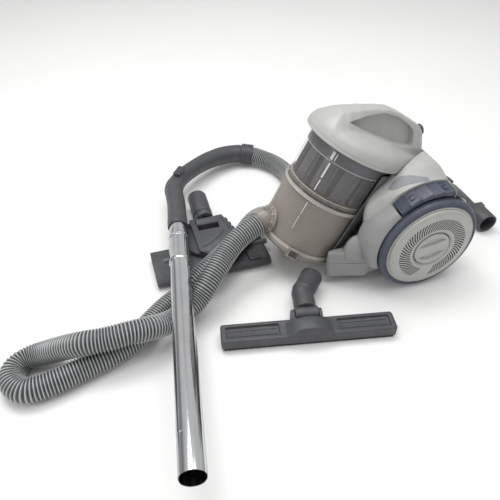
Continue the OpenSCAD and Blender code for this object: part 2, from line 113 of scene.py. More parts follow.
def mesh_of(name, verts, faces, frame_of=None):
    """A mesh from points in millimetres. frame_of turns a point of a local frame into the axle's frame."""
    me = bpy.data.meshes.new(name)
    pts = [put(frame_of(v) if frame_of else v) for v in verts]
    me.from_pydata(pts, [], faces)
    me.update()
    bm = bmesh.new()
    bm.from_mesh(me)
    bmesh.ops.recalc_face_normals(bm, faces=bm.faces)
    bm.to_mesh(me)
    bm.free()
    return me


def bake(o):
    """Applies the modifiers."""
    bpy.context.view_layer.update()
    dg = bpy.context.evaluated_depsgraph_get()
    me = bpy.data.meshes.new_from_object(o.evaluated_get(dg), preserve_all_data_layers=True, depsgraph=dg)
    o.modifiers.clear()
    o.data = me
    return o


def shade(o, angle=35):
    """Smooth shading, with sharp edges past an angle in degrees."""
    me = o.data
    me.polygons.foreach_set("use_smooth", [True] * len(me.polygons))
    me.set_sharp_from_angle(angle=math.radians(angle))
    return o


def bevel(o, width, segments=2, angle=32):
    """Rounds the edges sharper than an angle. width is in millimetres."""
    b = o.modifiers.new("bevel", "BEVEL")
    b.width = width / 1000
    b.segments = segments
    b.limit_method = "ANGLE"
    b.angle_limit = math.radians(angle)
    b.use_clamp_overlap = True
    b.harden_normals = False
    b.miter_outer = "MITER_ARC"
    return bake(o)


def subdivide(o, levels=2):
    """Smooths a coarse cage."""
    s = o.modifiers.new("smooth", "SUBSURF")
    s.levels = s.render_levels = levels
    return bake(o)


def cut(o, cutters):
    """Takes the cutters out of a piece and removes them."""
    for c in cutters:
        b = o.modifiers.new("cut", "BOOLEAN")
        b.operation = "DIFFERENCE"
        b.solver = "EXACT"
        b.object = c
    bake(o)
    for c in cutters:
        bpy.data.objects.remove(c)
    return o


def finish_piece(o, body, mat, hides=(), angle=35):
    """Gives a piece its material, body and slot, and hides the CAD nodes it stands for."""
    mats = mat if isinstance(mat, (list, tuple)) else [mat]
    if len(o.data.materials) == 0:
        for x in mats:
            o.data.materials.append(x)
    shade(o, angle)
    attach(o, body)
    if hides:
        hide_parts(*hides)
    return o


def loft(rings):
    """A closed solid with faces between rings of the same number of points."""
    n = len(rings[0])
    verts = [p for r in rings for p in r]
    faces = []
    for i in range(len(rings) - 1):
        for k in range(n):
            a, b = i * n + k, i * n + (k + 1) % n
            faces.append((a, b, b + n, a + n))
    faces.append(tuple(range(n - 1, -1, -1)))
    faces.append(tuple(range((len(rings) - 1) * n, len(rings) * n)))
    return verts, faces


def lathe(profile, sides=96):
    """Turns a closed profile of (radius, height) about Z."""
    verts, faces = [], []
    n = len(profile)
    for k in range(sides):
        a = 2 * math.pi * k / sides
        verts += [(r * math.cos(a), r * math.sin(a), z) for r, z in profile]
    for k in range(sides):
        j = (k + 1) % sides
        for i in range(n):
            i2 = (i + 1) % n
            faces.append((k * n + i, j * n + i, j * n + i2, k * n + i2))
    return verts, faces


def rounded(points, radius, steps=4):
    """A polygon with its corners rounded. radius is one number or one for each corner."""
    out = []
    n = len(points)
    for i in range(n):
        r = radius[i] if isinstance(radius, (list, tuple)) else radius
        p, a, b = Vector(points[i]), Vector(points[i - 1]), Vector(points[(i + 1) % n])
        u, v = (a - p), (b - p)
        if r <= 0 or u.length < 1e-6 or v.length < 1e-6:
            out.append(tuple(p))
            continue
        reach = min(r, u.length * 0.48, v.length * 0.48)
        s, e = p + u.normalized() * reach, p + v.normalized() * reach
        for k in range(steps + 1):
            t = k / steps
            out.append(tuple((1 - t) ** 2 * s + 2 * t * (1 - t) * p + t * t * e))
    return out


def prism(outline, lo, hi, axis="X"):
    """A straight solid on an outline, between two places along an axis."""
    if axis == "X":
        rings = [[(c, p[0], p[1]) for p in outline] for c in (lo, hi)]
    elif axis == "Y":
        rings = [[(p[0], c, p[1]) for p in outline] for c in (lo, hi)]
    else:
        rings = [[(p[0], p[1], c) for p in outline] for c in (lo, hi)]
    return loft(rings)


def merge(*parts):
    """Several parts as one list of points and one of faces."""
    verts, faces = [], []
    for v, f in parts:
        base = len(verts)
        verts += list(v)
        faces += [tuple(i + base for i in g) for g in f]
    return verts, faces


def catmull(points, steps):
    """A smooth curve through the points."""
    pts = [Vector(p) for p in points]
    out = []
    for i in range(len(pts) - 1):
        a, b, c, d = pts[max(i - 1, 0)], pts[i], pts[i + 1], pts[min(i + 2, len(pts) - 1)]
        for s in range(steps):
            t = s / steps
            out.append(0.5 * (2 * b + (c - a) * t + (2 * a - 5 * b + 4 * c - d) * t * t
                              + (3 * b - a - 3 * c + d) * t ** 3))
    out.append(pts[-1])
    return out


def resample(line, step):
    """The same line with points a steady step apart."""
    out, left = [line[0]], step
    for a, b in zip(line, line[1:]):
        d = (b - a).length
        at = left
        while at <= d:
            out.append(a + (b - a) * (at / d))
            at += step
        left = at - d
    return out


def frames_along(line):
    """Directions and steady side vectors along a line."""
    dirs = [(line[min(i + 1, len(line) - 1)] - line[max(i - 1, 0)]).normalized() for i in range(len(line))]
    up = Vector((0, 0, 1))
    side = dirs[0].cross(up).normalized()
    out = []
    for d in dirs:
        side = (side - d * side.dot(d)).normalized()
        out.append((d, side, side.cross(d)))
    return out


def sweep(line, radius, sides=32, squash=None):
    """A tube along a line. radius and squash (factors of width and height) are functions of the share
    of its length."""
    lens = [0.0]
    for a, b in zip(line, line[1:]):
        lens.append(lens[-1] + (b - a).length)
    rings = []
    for p, (_, u, v), s in zip(line, frames_along(line), lens):
        t = s / lens[-1]
        r = radius(t) if callable(radius) else radius
        fu, fv = squash(t) if squash else (1, 1)
        rings.append([p + r * fu * math.cos(2 * math.pi * k / sides) * u
                      + r * fv * math.sin(2 * math.pi * k / sides) * v for k in range(sides)])
    return loft(rings)


def refine(node, mat, width):
    """A CAD node's own shape with its edges rounded off, which stands for the node."""
    src = nodes[node]
    me = src.data.copy()
    me.materials.clear()
    bm = bmesh.new()
    bm.from_mesh(me)
    bmesh.ops.remove_doubles(bm, verts=bm.verts, dist=2e-6)
    bmesh.ops.dissolve_limit(bm, angle_limit=math.radians(0.8), verts=bm.verts, edges=bm.edges)
    bm.to_mesh(me)
    bm.free()
    for a in ("custom_normal", "sharp_edge", "sharp_face"):
        if a in me.attributes:
            me.attributes.remove(me.attributes[a])
    o = new_object(node + "_look", me)
    if width:
        bevel(o, width)
    return finish_piece(o, src["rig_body"], mat, [node], 40)


# ---------------------------------------------------------------- materials
def srgb(r, g, b):
    """A colour from 0 to 255 as Blender's linear values."""
    def f(c):
        c /= 255
        return c / 12.92 if c <= 0.04045 else ((c + 0.055) / 1.055) ** 2.4
    return (f(r), f(g), f(b), 1)


def material(name, colour, second=None, rough=(0.4, 0.5), scale=60, stretch=(1, 1, 1), grain=900,
             bump=0.15, depth=0.0002, metal=0.0, alpha=1.0, specular=0.5):
    """A moulded or metal surface: two tones in a noise, changing gloss, and a fine grain in relief."""
    mat = bpy.data.materials.new(name)
    mat.use_nodes = True
    nt = mat.node_tree
    b = nt.nodes["Principled BSDF"]
    link = nt.links.new
    tc = nt.nodes.new("ShaderNodeTexCoord")
    mp = nt.nodes.new("ShaderNodeMapping")
    mp.inputs["Scale"].default_value = stretch
    link(tc.outputs["Object"], mp.inputs["Vector"])
    n1 = nt.nodes.new("ShaderNodeTexNoise")
    n1.inputs["Scale"].default_value = scale
    n1.inputs["Detail"].default_value = 4
    link(mp.outputs["Vector"], n1.inputs["Vector"])
    ramp = nt.nodes.new("ShaderNodeValToRGB")
    second = second or tuple(c * 0.93 for c in colour[:3]) + (1,)
    ramp.color_ramp.elements[0].position = 0.3
    ramp.color_ramp.elements[0].color = second
    ramp.color_ramp.elements[1].position = 0.7
    ramp.color_ramp.elements[1].color = colour
    link(n1.outputs["Fac"], ramp.inputs["Fac"])
    link(ramp.outputs["Color"], b.inputs["Base Color"])
    mr = nt.nodes.new("ShaderNodeMapRange")
    mr.inputs["From Min"].default_value = 0.3
    mr.inputs["From Max"].default_value = 0.7
    mr.inputs["To Min"].default_value = rough[1]
    mr.inputs["To Max"].default_value = rough[0]
    link(n1.outputs["Fac"], mr.inputs["Value"])
    link(mr.outputs["Result"], b.inputs["Roughness"])
    if bump:
        n2 = nt.nodes.new("ShaderNodeTexNoise")
        n2.inputs["Scale"].default_value = grain
        n2.inputs["Detail"].default_value = 3
        link(mp.outputs["Vector"], n2.inputs["Vector"])
        bp = nt.nodes.new("ShaderNodeBump")
        bp.inputs["Strength"].default_value = bump
        bp.inputs["Distance"].default_value = depth
        link(n2.outputs["Fac"], bp.inputs["Height"])
        link(bp.outputs["Normal"], b.inputs["Normal"])
    b.inputs["Metallic"].default_value = metal
    b.inputs["Alpha"].default_value = alpha
    b.inputs["Specular IOR Level"].default_value = specular
    return mat


FLANK = material("shell_flank", srgb(158, 159, 157), srgb(151, 152, 151), (0.36, 0.45), 40, bump=0.08)
SHELL = material("shell_grey", srgb(181, 181, 177), srgb(174, 174, 171), (0.34, 0.42), 40, bump=0.08)
PANEL = material("cool_panel", srgb(140, 142, 146), srgb(132, 134, 139), (0.4, 0.5), 40, bump=0.1)
SLATE = material("slate_plastic", srgb(72, 77, 92), srgb(64, 69, 84), (0.35, 0.45), 60, bump=0.12)
TYRE = material("tyre_rubber", srgb(80, 85, 99), srgb(70, 75, 89), (0.42, 0.56), 90, bump=0.25, grain=1400)
DARK = material("dark_plastic", srgb(78, 79, 82), srgb(70, 71, 74), (0.45, 0.56), 70, bump=0.3, grain=1500)
MID = material("mid_grey_plastic", srgb(112, 113, 116), srgb(104, 105, 108), (0.45, 0.55), 70, bump=0.25,
               grain=1500)
BRISTLE = material("bristle", srgb(58, 58, 60), srgb(38, 38, 40), (0.6, 0.8), 800, stretch=(1, 1, 0.05),
                   bump=0.8,
                   grain=1800, depth=0.0006)
SMOKE = material("clear_smoke", srgb(196, 190, 184), srgb(186, 180, 174), (0.04, 0.08), 30, bump=0.03,
                 alpha=0.11,
                 specular=0.6)
SMOKE_THICK = material("clear_smoke_edge", srgb(178, 170, 163), srgb(160, 152, 146), (0.12, 0.2), 50,
                       bump=0.05,
                       alpha=0.62)
HAZE = material("dust_haze", srgb(184, 173, 163), srgb(160, 151, 143), (0.35, 0.5), 12, bump=0.1, alpha=0.5)
# near white, nearly opaque: a painted highlight for a lamp's long reflection on the clear tube
PAINTED_HIGHLIGHT = material("painted_highlight_strip", srgb(240, 238, 235), srgb(224, 221, 217), (0.06, 0.12), 50, bump=0.03,
                alpha=0.86)
BOWL = material("bowl_smoke", srgb(166, 161, 155), srgb(156, 150, 144), (0.2, 0.3), 30, bump=0.05,
                alpha=0.86)
SHROUD = material("shroud_dark", srgb(74, 78, 90), srgb(62, 66, 78), (0.4, 0.5), 60, bump=0.2)
FILTER = material("filter_felt", srgb(206, 204, 200), srgb(180, 178, 174), (0.85, 0.95), 300, bump=0.8,
                  grain=1600,
                  depth=0.0005)
GASKET = material("gasket_red", srgb(196, 92, 66), srgb(178, 78, 56), (0.5, 0.6), 80, bump=0.1)
STEEL = material("motor_steel", srgb(150, 151, 154), srgb(126, 127, 130), (0.3, 0.4), 60, stretch=(1, 8, 8),
                 bump=0.1,
                 metal=1.0)
SEAL = material("seal_rubber", srgb(44, 44, 46), srgb(36, 36, 38), (0.6, 0.75), 80, bump=0.2)
# make_wand mixes darker painted reflection bands into this chrome colour
CHROME = material("chrome_tube", srgb(246, 247, 248), srgb(226, 228, 230), (0.10, 0.18), 22,
                  stretch=(1, 1, 1), bump=0.02,
                  metal=1.0)
SLOT_DARK = material("slot_shadow", srgb(44, 46, 50), srgb(32, 34, 38), (0.6, 0.75), 80, bump=0.1)
RING_LIGHT = material("ring_light", srgb(206, 200, 193), srgb(186, 180, 173), (0.12, 0.2), 50, bump=0.05,
                      alpha=0.8)
CORE = material("cyclone_core", srgb(66, 70, 82), srgb(56, 60, 72), (0.4, 0.5), 60, bump=0.15)
SEAL_GREY = material("tail_grey", srgb(98, 98, 100), srgb(88, 88, 90), (0.45, 0.55), 70, bump=0.25,
                     grain=1500)
DARK_SOFT = material("dark_soft_pad", srgb(92, 93, 95), srgb(80, 81, 83), (0.5, 0.62), 90, bump=0.4,
                     grain=1300)
# dark hose grey: partly the hose's own colour, partly painted shade for the grooves between its ridges
HOSE = material("hose_grey", srgb(58, 60, 62), srgb(50, 52, 54), (0.32, 0.42), 60, bump=0.1)

# ---------------------------------------------------------------- hose
HOSE_ROUTE = [(6.8, -253.1, 95), (24, -294, 84), (44, -322, 73), (66, -345, 63), (84, -365, 52),
              (98, -383.6, 41.5), (116, -411, 36.5), (130, -439, 40), (142, -467, 52), (147, -496, 59),
              (148, -528, 58), (144, -560, 55.5), (131, -591, 41), (119, -618, 25.5), (116, -637, 20),
              (121, -654, 19.2), (135, -665, 19.2), (152.5, -665.5, 19.2), (167, -656, 19.2),
              (173.5, -640, 19.2), (170, -610, 19.2), (160, -572, 19.2), (148, -530, 19.2),
              (129, -491, 19.2), (104, -463, 19.2), (80, -435, 19.2), (59.5, -404, 20.5), (44, -374, 30),
              (28, -346, 38), (6.5, -318.3, 38.4), (-15.7, -292, 38.4), (-38, -266, 38.4),
              (-64, -243, 38.4), (-86, -220, 32), (-101, -194, 22), (-115, -167, 19.2), (-137, -143, 19.2),
              (-166, -122, 19.2), (-200, -109, 19.2), (-240, -108, 19.2), (-282, -124, 20.5),
              (-319, -158, 24.6)]
PITCH = 4.6
hose_line = resample(catmull(HOSE_ROUTE, 24), PITCH / 6)


def make_hose():
    """The ribbed hose: one helical ridge along the route, with a painted highlight on its crests."""
    sides = 22
    rings = []
    for i, (p, (_, u, v)) in enumerate(zip(hose_line, frames_along(hose_line))):
        ring = []
        for k in range(sides):
            a = 2 * math.pi * k / sides
            phase = i / 6 - k / sides
            crest = (0.5 + 0.5 * math.cos(2 * math.pi * phase)) ** 1.6
            r = 16.2 + 2.4 * crest
            ring.append(p + r * (math.cos(a) * u + math.sin(a) * v))
        rings.append(ring)
    me = mesh_of("hose_ribbed", *loft(rings))
    # painted highlight mask: 1 on the ridge's crest, 0 in the groove
    at = me.attributes.new("rib", "FLOAT", "POINT")
    vals = []
    for i in range(len(rings)):
        for k in range(sides):
            vals.append((0.5 + 0.5 * math.cos(2 * math.pi * (i / 6 - k / sides))) ** 3)
    at.data.foreach_set("value", vals)
    o = new_object("hose_ribbed", me)
    nt = HOSE.node_tree
    b = nt.nodes["Principled BSDF"]
    old = b.inputs["Base Color"].links[0].from_socket
    attr = nt.nodes.new("ShaderNodeAttribute")
    attr.attribute_name = "rib"
    mix = nt.nodes.new("ShaderNodeMix")
    mix.data_type = "RGBA"
    nt.links.new(attr.outputs["Fac"], mix.inputs["Factor"])
    nt.links.new(old, mix.inputs[6])
    # the light grey put on the crests is a painted highlight
    mix.inputs[7].default_value = srgb(198, 200, 201)
    nt.links.new(mix.outputs[2], b.inputs["Base Color"])
    finish_piece(o, "root", HOSE, ["hose"], 60)
    return o


hose = make_hose()
path = [put(p) for p in hose_line]
path = path[::6] + [path[-1]]


# ---------------------------------------------------------------- wheels
AXLE_Z = 87.7


def wheel_point(side, x, r, a):
    """A point at distance x out from the middle, radius r and angle a from the rear, turning up."""
    return (side * x, r * math.cos(a), AXLE_Z + r * math.sin(a))


def make_tyre(side, name):
    """The tread of a wheel."""
    profile = [(78, 1), (82.9, 1), (85.6, 1.9), (87.1, 3.8), (87.65, 6.4), (87.7, 11.6), (87.1, 12.2),
               (87.1, 12.9), (87.7, 13.5), (87.7, 19.2), (87.5, 21.4), (86.6, 23.9), (85.1, 25.9),
               (83.2, 27.1), (81.8, 27.5), (81.2, 26.8), (80.2, 26.8), (79.6, 27.6), (78, 27.8)]
    v, f = lathe(profile, 144)
    v = [(side * (112 + z), x, AXLE_Z + y) for x, y, z in v]
    o = new_object(name + "_tread", mesh_of(name, v, f))
    return finish_piece(o, name.split("_")[0] + "_wheel", TYRE, [name], 40)


def make_cover(side, name):
    """The vented cover: a polar grid whose slot cells are pushed in, with a turning knob in the middle."""
    n = 264
    rows = [(33.0, 4.4), (34.6, 4.4), (35.4, 6.2), (36.6, 6.9), (38.4, 6.9), (40.0, 6.7), (43, 6.7),
            (46.5, 6.65), (50, 6.55), (53.5, 6.4), (57.5, 6.2), (59.5, 6.1), (64, 5.6), (68.5, 4.9),
            (70.2, 4.5), (70.9, 3.9), (71.7, 3.9), (72.3, 4.2), (73.8, 3.3), (74.6, 2.2), (74.8, 1.2),
            (74.6, 0.5), (33.0, 0.5)]
    verts, faces = [], []
    for r, h in rows:
        t = min(max((r - 39) / 20, 0), 1)
        twist = -0.17 * t - 0.07 * t * t
        for k in range(n):
            a = 2 * math.pi * k / n + twist + math.radians(-71)
            verts.append(wheel_point(side, 140 + h, r, a))
    for i in range(len(rows)):
        i2 = (i + 1) % len(rows)
        for k in range(n):
            k2 = (k + 1) % n
            faces.append((i * n + k, i * n + k2, i2 * n + k2, i2 * n + k))
    me = mesh_of(name, verts, faces)
    bm = bmesh.new()
    bm.from_mesh(me)
    bm.faces.ensure_lookup_table()
    wide = [bm.faces[i * n + 4 * s + c] for s in range(60) for i in range(5, 11) for c in (0, 1)]
    bmesh.ops.inset_region(bm, faces=wide, thickness=0.00012, depth=0, use_even_offset=True)
    out = bmesh.ops.inset_region(bm, faces=wide, thickness=0.00002, depth=-0.0026, use_even_offset=True)
    for g in wide + out["faces"]:
        g.material_index = 1
    bm.to_mesh(me)
    bm.free()
    o = new_object(name + "_grille", me)
    finish_piece(o, name, [SHELL, SLOT_DARK], [name], 45)
    # knob
    prof = [(0, 6.6), (27, 6.6), (29.6, 6.4), (30.9, 5.8), (31.4, 4.8), (31.4, 1.2), (0, 1.2)]
    v, f = lathe(prof, 96)
    v = [(side * (140 + z), x, AXLE_Z + y) for x, y, z in v]
    knob = new_object(name + "_knob", mesh_of("knob", v, f))
    bm = bmesh.new()
    bm.from_mesh(knob.data)
    bmesh.ops.remove_doubles(bm, verts=bm.verts, dist=1e-6)
    bmesh.ops.recalc_face_normals(bm, faces=bm.faces)
    bm.to_mesh(knob.data)
    bm.free()
    cutters = []
    turn = math.radians(8)
    for s in (1, -1):
        arc = [(-25 + 50 * k / 16, 11 + 11.5 * (1 - ((k - 8) / 8) ** 2)) for k in range(17)]
        arc += [(25 - 50 * k / 16, 11 - 3.0 * (1 - ((k - 8) / 8) ** 2)) for k in range(1, 16)]
        rings = []
        for x, scale in ((150, 1.04), (146.6, 1.0), (145.6, 0.97), (142.4, 0.8)):
            ring = []
            for y, z in arc:
                yy, zz = y * scale, (14.5 + (z - 14.5) * scale) * s
                ring.append((side * x, yy * math.cos(turn) - zz * math.sin(turn),
                             AXLE_Z + yy * math.sin(turn) + zz * math.cos(turn)))
            rings.append(ring)
        cutters.append(new_object("cut", mesh_of("cut", *loft(rings))))
    cut(knob, cutters)
    bevel(knob, 0.5, 2, 30)
    finish_piece(knob, name, SHELL, [], 45)


def arc_point(side, x, r, a):
    """A point over the wheel, at angle a in degrees from upright, turning to the front."""
    t = math.radians(a)
    return (side * x, -r * math.sin(t), AXLE_Z + r * math.cos(t))


# angles over the wheel, in degrees
PEDAL_REAR = -14.2
PEDAL_SPAN = 54.4


def make_pedal(side, name):
    """The strip over the wheel: five steps on a curved band, two of them with a raised mark."""
    parts = []
    rings = []
    for k in range(25):
        a = PEDAL_REAR + PEDAL_SPAN * k / 24
        rings.append([arc_point(side, x, r, a) for x, r in
                      rounded([(103.2, 94.2), (103.2, 98.6), (129.4, 98.6), (129.4, 94.2)],
                              [0, 0.8, 1.2, 0.6], 2)])
    parts.append(loft(rings))
    step = PEDAL_SPAN / 5
    for s in range(5):
        a0, a1 = PEDAL_REAR + s * step + 0.22, PEDAL_REAR + (s + 1) * step - 0.22
        rings = []
        for k in range(7):
            t = k / 6
            top = 103.0 - 3.6 * t ** 0.7
            rings.append([arc_point(side, x, r, a0 + (a1 - a0) * t) for x, r in
                          rounded([(103.0, 97.5), (103.0, top), (129.7, top - 1.4), (129.7, 92.2)],
                                  [0, 1.4, 2.4, 1.2], 3)])
        parts.append(loft(rings))
        # a raised mark on two of the five steps
        mid = (a0 + a1) / 2
        top = 103.0 - 2.3 * 0.5 ** 0.8
        if s in (0, 3):
            count = 28 if s == 0 else 4
            outer, inner = [], []
            for k in range(count):
                t = 2 * math.pi * (k + 0.5) / count
                for lst, rad in ((outer, 6.4 if s == 0 else 7.2), (inner, 5.0 if s == 0 else 5.6)):
                    lst.append((116 + rad * math.cos(t), rad * math.sin(t)))
            v = []
            for h in (-0.6, 0.55):
                for lst in (outer, inner):
                    for x, u in lst:
                        slope = (x - 103) / 26.7 * -1.4
                        v.append(arc_point(side, x, top + slope + h - u * 0.12 * 0.4,
                                           mid + math.degrees(-u / 102)))
            c = count
            f = []
            for k in range(c):
                j = (k + 1) % c
                f += [(k, j, c + j, c + k), (2 * c + k, 3 * c + k, 3 * c + j, 2 * c + j),
                      (k, 2 * c + k, 2 * c + j, j), (c + k, c + j, 3 * c + j, 3 * c + k)]
            parts.append((v, f))
    o = new_object(name + "_steps", mesh_of(name, *merge(*parts)))
    bevel(o, 0.25, 1, 40)
    finish_piece(o, name, SLATE, [name], 40)


# ---------------------------------------------------------------- body shell
SHELL_ROOM = 79.2
BOSS_ROOM = 75.8


def bin_room(radius):
    """A cutter round the bin's axis, which leaves room for the bin."""
    v, f = lathe([(0, -140), (radius, -140), (radius, 100), (0, 100)], 96)
    return new_object("cut", mesh_of("cut", v, f, in_bin))


def make_body():
    """The upper shell: a cage of side outlines, smoothed, with room cut for the bin and the lid."""
    mid = [(-62, 58), (-78, 90), (-88, 122), (-88, 150), (-74, 172), (-44, 194), (5, 203), (28, 199),
           (42, 190), (54, 165), (72, 136), (88, 106), (90, 80), (84, 58), (40, 57), (-10, 57)]
    sec75 = [(-64, 58), (-84, 90), (-96, 122), (-96, 153), (-84, 172), (-46, 190), (4, 198), (28, 193),
             (42, 183), (56, 162), (76, 136), (90, 106), (92, 80), (86, 58), (40, 57), (-10, 57)]
    sec90 = [(-66, 58), (-92, 90), (-104, 122), (-106, 154), (-94, 169), (-52, 184), (4, 189), (30, 183),
             (48, 172), (62, 157), (82, 134), (93, 104), (94, 80), (86, 58), (40, 57), (-10, 57)]
    sec100 = [(-66, 58), (-94, 84), (-102, 118), (-99, 150), (-84, 165), (-46, 180), (4, 188), (34, 181),
              (54, 168), (70, 152), (84, 132), (93, 104), (93, 80), (84, 58), (40, 57), (-10, 57)]
    sec108 = [(-62, 58), (-90, 80), (-95, 112), (-87, 138), (-68, 160), (-38, 176), (2, 184), (34, 176),
              (56, 161), (72, 145), (83, 126), (90, 104), (89, 80), (80, 58), (40, 57), (-10, 57)]
    sec111 = [(-58, 60), (-84, 80), (-88, 108), (-80, 130), (-62, 151), (-34, 168), (2, 176), (32, 169),
              (53, 155), (68, 139), (79, 121), (85, 102), (84, 80), (76, 60), (38, 59), (-10, 59)]
    half = [(0, mid), (45, mid), (66, mid), (75, sec75), (90, sec90), (100, sec100), (108, sec108),
            (111.2, sec111)]
    rings = [[(-x, y, z) for y, z in s] for x, s in reversed(half[1:])]
    rings += [[(x, y, z) for y, z in s] for x, s in half]
    o = new_object("body_shell", mesh_of("body_shell", *loft(rings)))
    subdivide(o, 3)
    bin_cut = bin_room(SHELL_ROOM)
    out = lid_outline(1.0)
    lid_cut = new_object("cut", mesh_of("cut", *prism(out, 88, 220, "Z"), in_bin))
    cutters = [bin_cut, lid_cut]
    # the beds that the pedals sink into
    for side in (1, -1):
        rings = []
        for k in range(25):
            a = -16.2 + 58.2 * k / 24
            rings.append([arc_point(side, x, r, a) for x, r in ((102.5, 89.6), (102.5, 108), (118, 108),
                                                                (118, 89.6))])
        cutters.append(new_object("cut", mesh_of("cut", *loft(rings))))
    cut(o, cutters)
    bevel(o, 0.9, 2, 50)
    finish_piece(o, "root", SHELL, ["upper_body"], 45)


# ---------------------------------------------------------------- lid and handle
def lid_outline(grow=0.0, count=160):
    """The lid seen along the bin's axis: round at the front, drawn back to the handle's foot at the rear."""
    out = []
    r0 = 85 + grow
    tail = Vector((17 + grow, 127 + grow))
    join = math.radians(38)
    j = Vector((r0 * math.cos(join), r0 * math.sin(join)))
    for k in range(count):
        a = 2 * math.pi * (k + 0.5) / count
        c, s = math.cos(a), math.sin(a)
        if s <= math.sin(join):
            out.append((r0 * c, r0 * s))
            continue
        ax, d = abs(c), Vector((abs(c), s))
        # where the ray meets the straight side, or the end behind the foot
        e = tail - j
        den = d.x * e.y - d.y * e.x
        t = (j.x * e.y - j.y * e.x) / den
        end = tail.y / s
        t = min(t, end)
        out.append((math.copysign(t * ax, c), t * s))
    return out


CREST = [(-84, 101), (-81, 112), (-78, 123), (-73, 131), (-60, 138), (-44, 144.6), (-25, 152.2), (2, 161.6),
         (20, 166.2), (43, 166.0), (73, 162.8), (92, 159.8), (102, 154.6), (114, 141), (124, 128),
         (134, 113)]


def along(table, y):
    """A value from a table of (place, value), with soft steps between its rows."""
    if y <= table[0][0]:
        return table[0][1]
    for (a, u), (b, v) in zip(table, table[1:]):
        if y <= b:
            t = (y - a) / (b - a)
            t = t * t * (3 - 2 * t) * 0.35 + t * 0.65
            return u + (v - u) * t
    return table[-1][1]


def soft_max(a, b, k):
    """The larger of two values, blended where they are close."""
    h = min(max(0.5 + 0.5 * (a - b) / k, 0), 1)
    return b + (a - b) * h + k * h * (1 - h)


def lid_height(x, y, rho):
    """The lid's height over its outline. rho is the share of the way out to the rim."""
    rear = min(max((y - 40) / 88, 0), 1)
    rim = 99 + 12.5 * rear * rear * (3 - 2 * rear)
    base = rim + (21 - 16 * rear) * max(1 - rho ** 7, 0) ** 0.62 + 5 * (1 - rho)
    slope = along([(-80, 0.35), (-52, 0.5), (-36, 0.9), (-10, 1.5), (80, 2.0), (110, 3.0)], y)
    flat = along([(-80, 16), (-40, 13), (0, 10.5), (80, 11), (130, 13)], y)
    over = max(abs(x) - flat, 0)
    ridge = along(CREST, y) - slope * over - 0.008 * x * x
    if y < 0:
        ridge = min(ridge, base + 60 * (1 - rho))
    return soft_max(base, ridge, 4.0)


def make_lid():
    """The lid with its carry handle, and the release button at the rear."""
    outline = lid_outline(0, 240)
    rhos = [0.04 + 0.96 * (i / 46) ** 0.9 for i in range(47)]
    rings = []
    for rho in rhos:
        lift = 0
        if rho > 0.975:
            lift = -0.5
        rings.append([(x * rho, y * rho, lid_height(x * rho, y * rho, rho) + lift) for x, y in outline])
    edge = rings[-1]

    def ring(shrink, z):
        return [(p[0] * (1 - shrink / 86), p[1] * (1 - shrink / 86), z if z < 90 else min(z, q[2] - 0.2))
                for p, q in zip(outline, edge)]
    rings.append([(p[0], p[1], q[2] - 1.1) for p, q in zip(outline, edge)])
    rings.append([(p[0] * 0.996, p[1] * 0.996, q[2] - 1.5) for p, q in zip(outline, edge)])
    rings.append([(p[0] * 0.996, p[1] * 0.996, q[2] - 2.1) for p, q in zip(outline, edge)])
    rings.append([(p[0] * 1.0, p[1] * 1.0, q[2] - 2.6) for p, q in zip(outline, edge)])
    rings.append([(p[0] * 1.0, p[1] * 1.0, max(q[2] - 7.2, 92.6)) for p, q in zip(outline, edge)])
    rings.append([(p[0] * 0.985, p[1] * 0.985, max(q[2] - 8.0, 92.0)) for p, q in zip(outline, edge)])
    inner = []
    for p, q in zip(outline, edge):
        s = 77 / math.hypot(p[0], p[1])
        inner.append((p[0] * s, p[1] * s, max(q[2] - 8.0, 92.0) if p[1] > 40 else 92.0))
    rings.append(inner)
    rings.append([(p[0], p[1], 98.6) for p in inner])
    v, f = loft(rings)
    o = new_object("lid_shell", mesh_of("lid", v, f, in_bin))
    slot = rounded([(-50, 129), (-20, 145), (12, 159.5), (40, 161), (70, 155.5), (82, 149), (91, 127),
                    (60, 122), (0, 123.5)], [0, 6, 4, 5, 5, 4, 4, 6, 6], 4)
    pockets = new_object("cut", mesh_of("cut", *prism(slot, -60, 60, "X"), in_bin))
    web = prism(rounded([(-13, 118), (13, 118), (3.6, 166), (-3.6, 166)], [1, 1, 2, 2], 3), -60, 100, "Y")
    cut(pockets, [new_object("cut", mesh_of("cut", *web, in_bin))])
    cut(o, [pockets])
    bevel(o, 0.7, 2, 52)
    finish_piece(o, "bin_lid", SHELL, ["bin_lid"], 50)
    # release button on the handle's rear end
    rings = []
    for t in [i / 12 for i in range(13)]:
        ph = math.pi * t
        w = max(math.sin(ph), 0) ** 0.6
        ring = []
        for k in range(32):
            a = 2 * math.pi * k / 32
            cx = math.copysign(abs(math.cos(a)) ** 0.8, math.cos(a)) * 8.4 * max(w, 0.05)
            cy = math.copysign(abs(math.sin(a)) ** 0.8, math.sin(a)) * 9.4 * max(w, 0.05)
            cz = -math.cos(ph) * 4.4
            # tilt with the handle's rear slope
            t2 = math.radians(-45)
            ring.append((cx, 105.4 + cy * math.cos(t2) - cz * math.sin(t2),
                         153.2 + cy * math.sin(t2) + cz * math.cos(t2)))
        rings.append(ring)
    b = new_object("lid_button_cap", mesh_of("button", *loft(rings), in_bin))
    finish_piece(b, "lid_button", SLATE, ["lid_button"], 60)


# ---------------------------------------------------------------- bin parts
RING_LOW = -96.5


def lathe_piece(name, profile, body, mat, hides=(), sides=128, angle=40):
    """A turned piece on the bin's axis."""
    v, f = lathe(profile, sides)
    o = new_object(name, mesh_of(name, v, f, in_bin))
    bm = bmesh.new()
    bm.from_mesh(o.data)
    bmesh.ops.remove_doubles(bm, verts=bm.verts, dist=1e-6)
    bmesh.ops.recalc_face_normals(bm, faces=bm.faces)
    bm.to_mesh(o.data)
    bm.free()
    return finish_piece(o, body, mat, hides, angle)


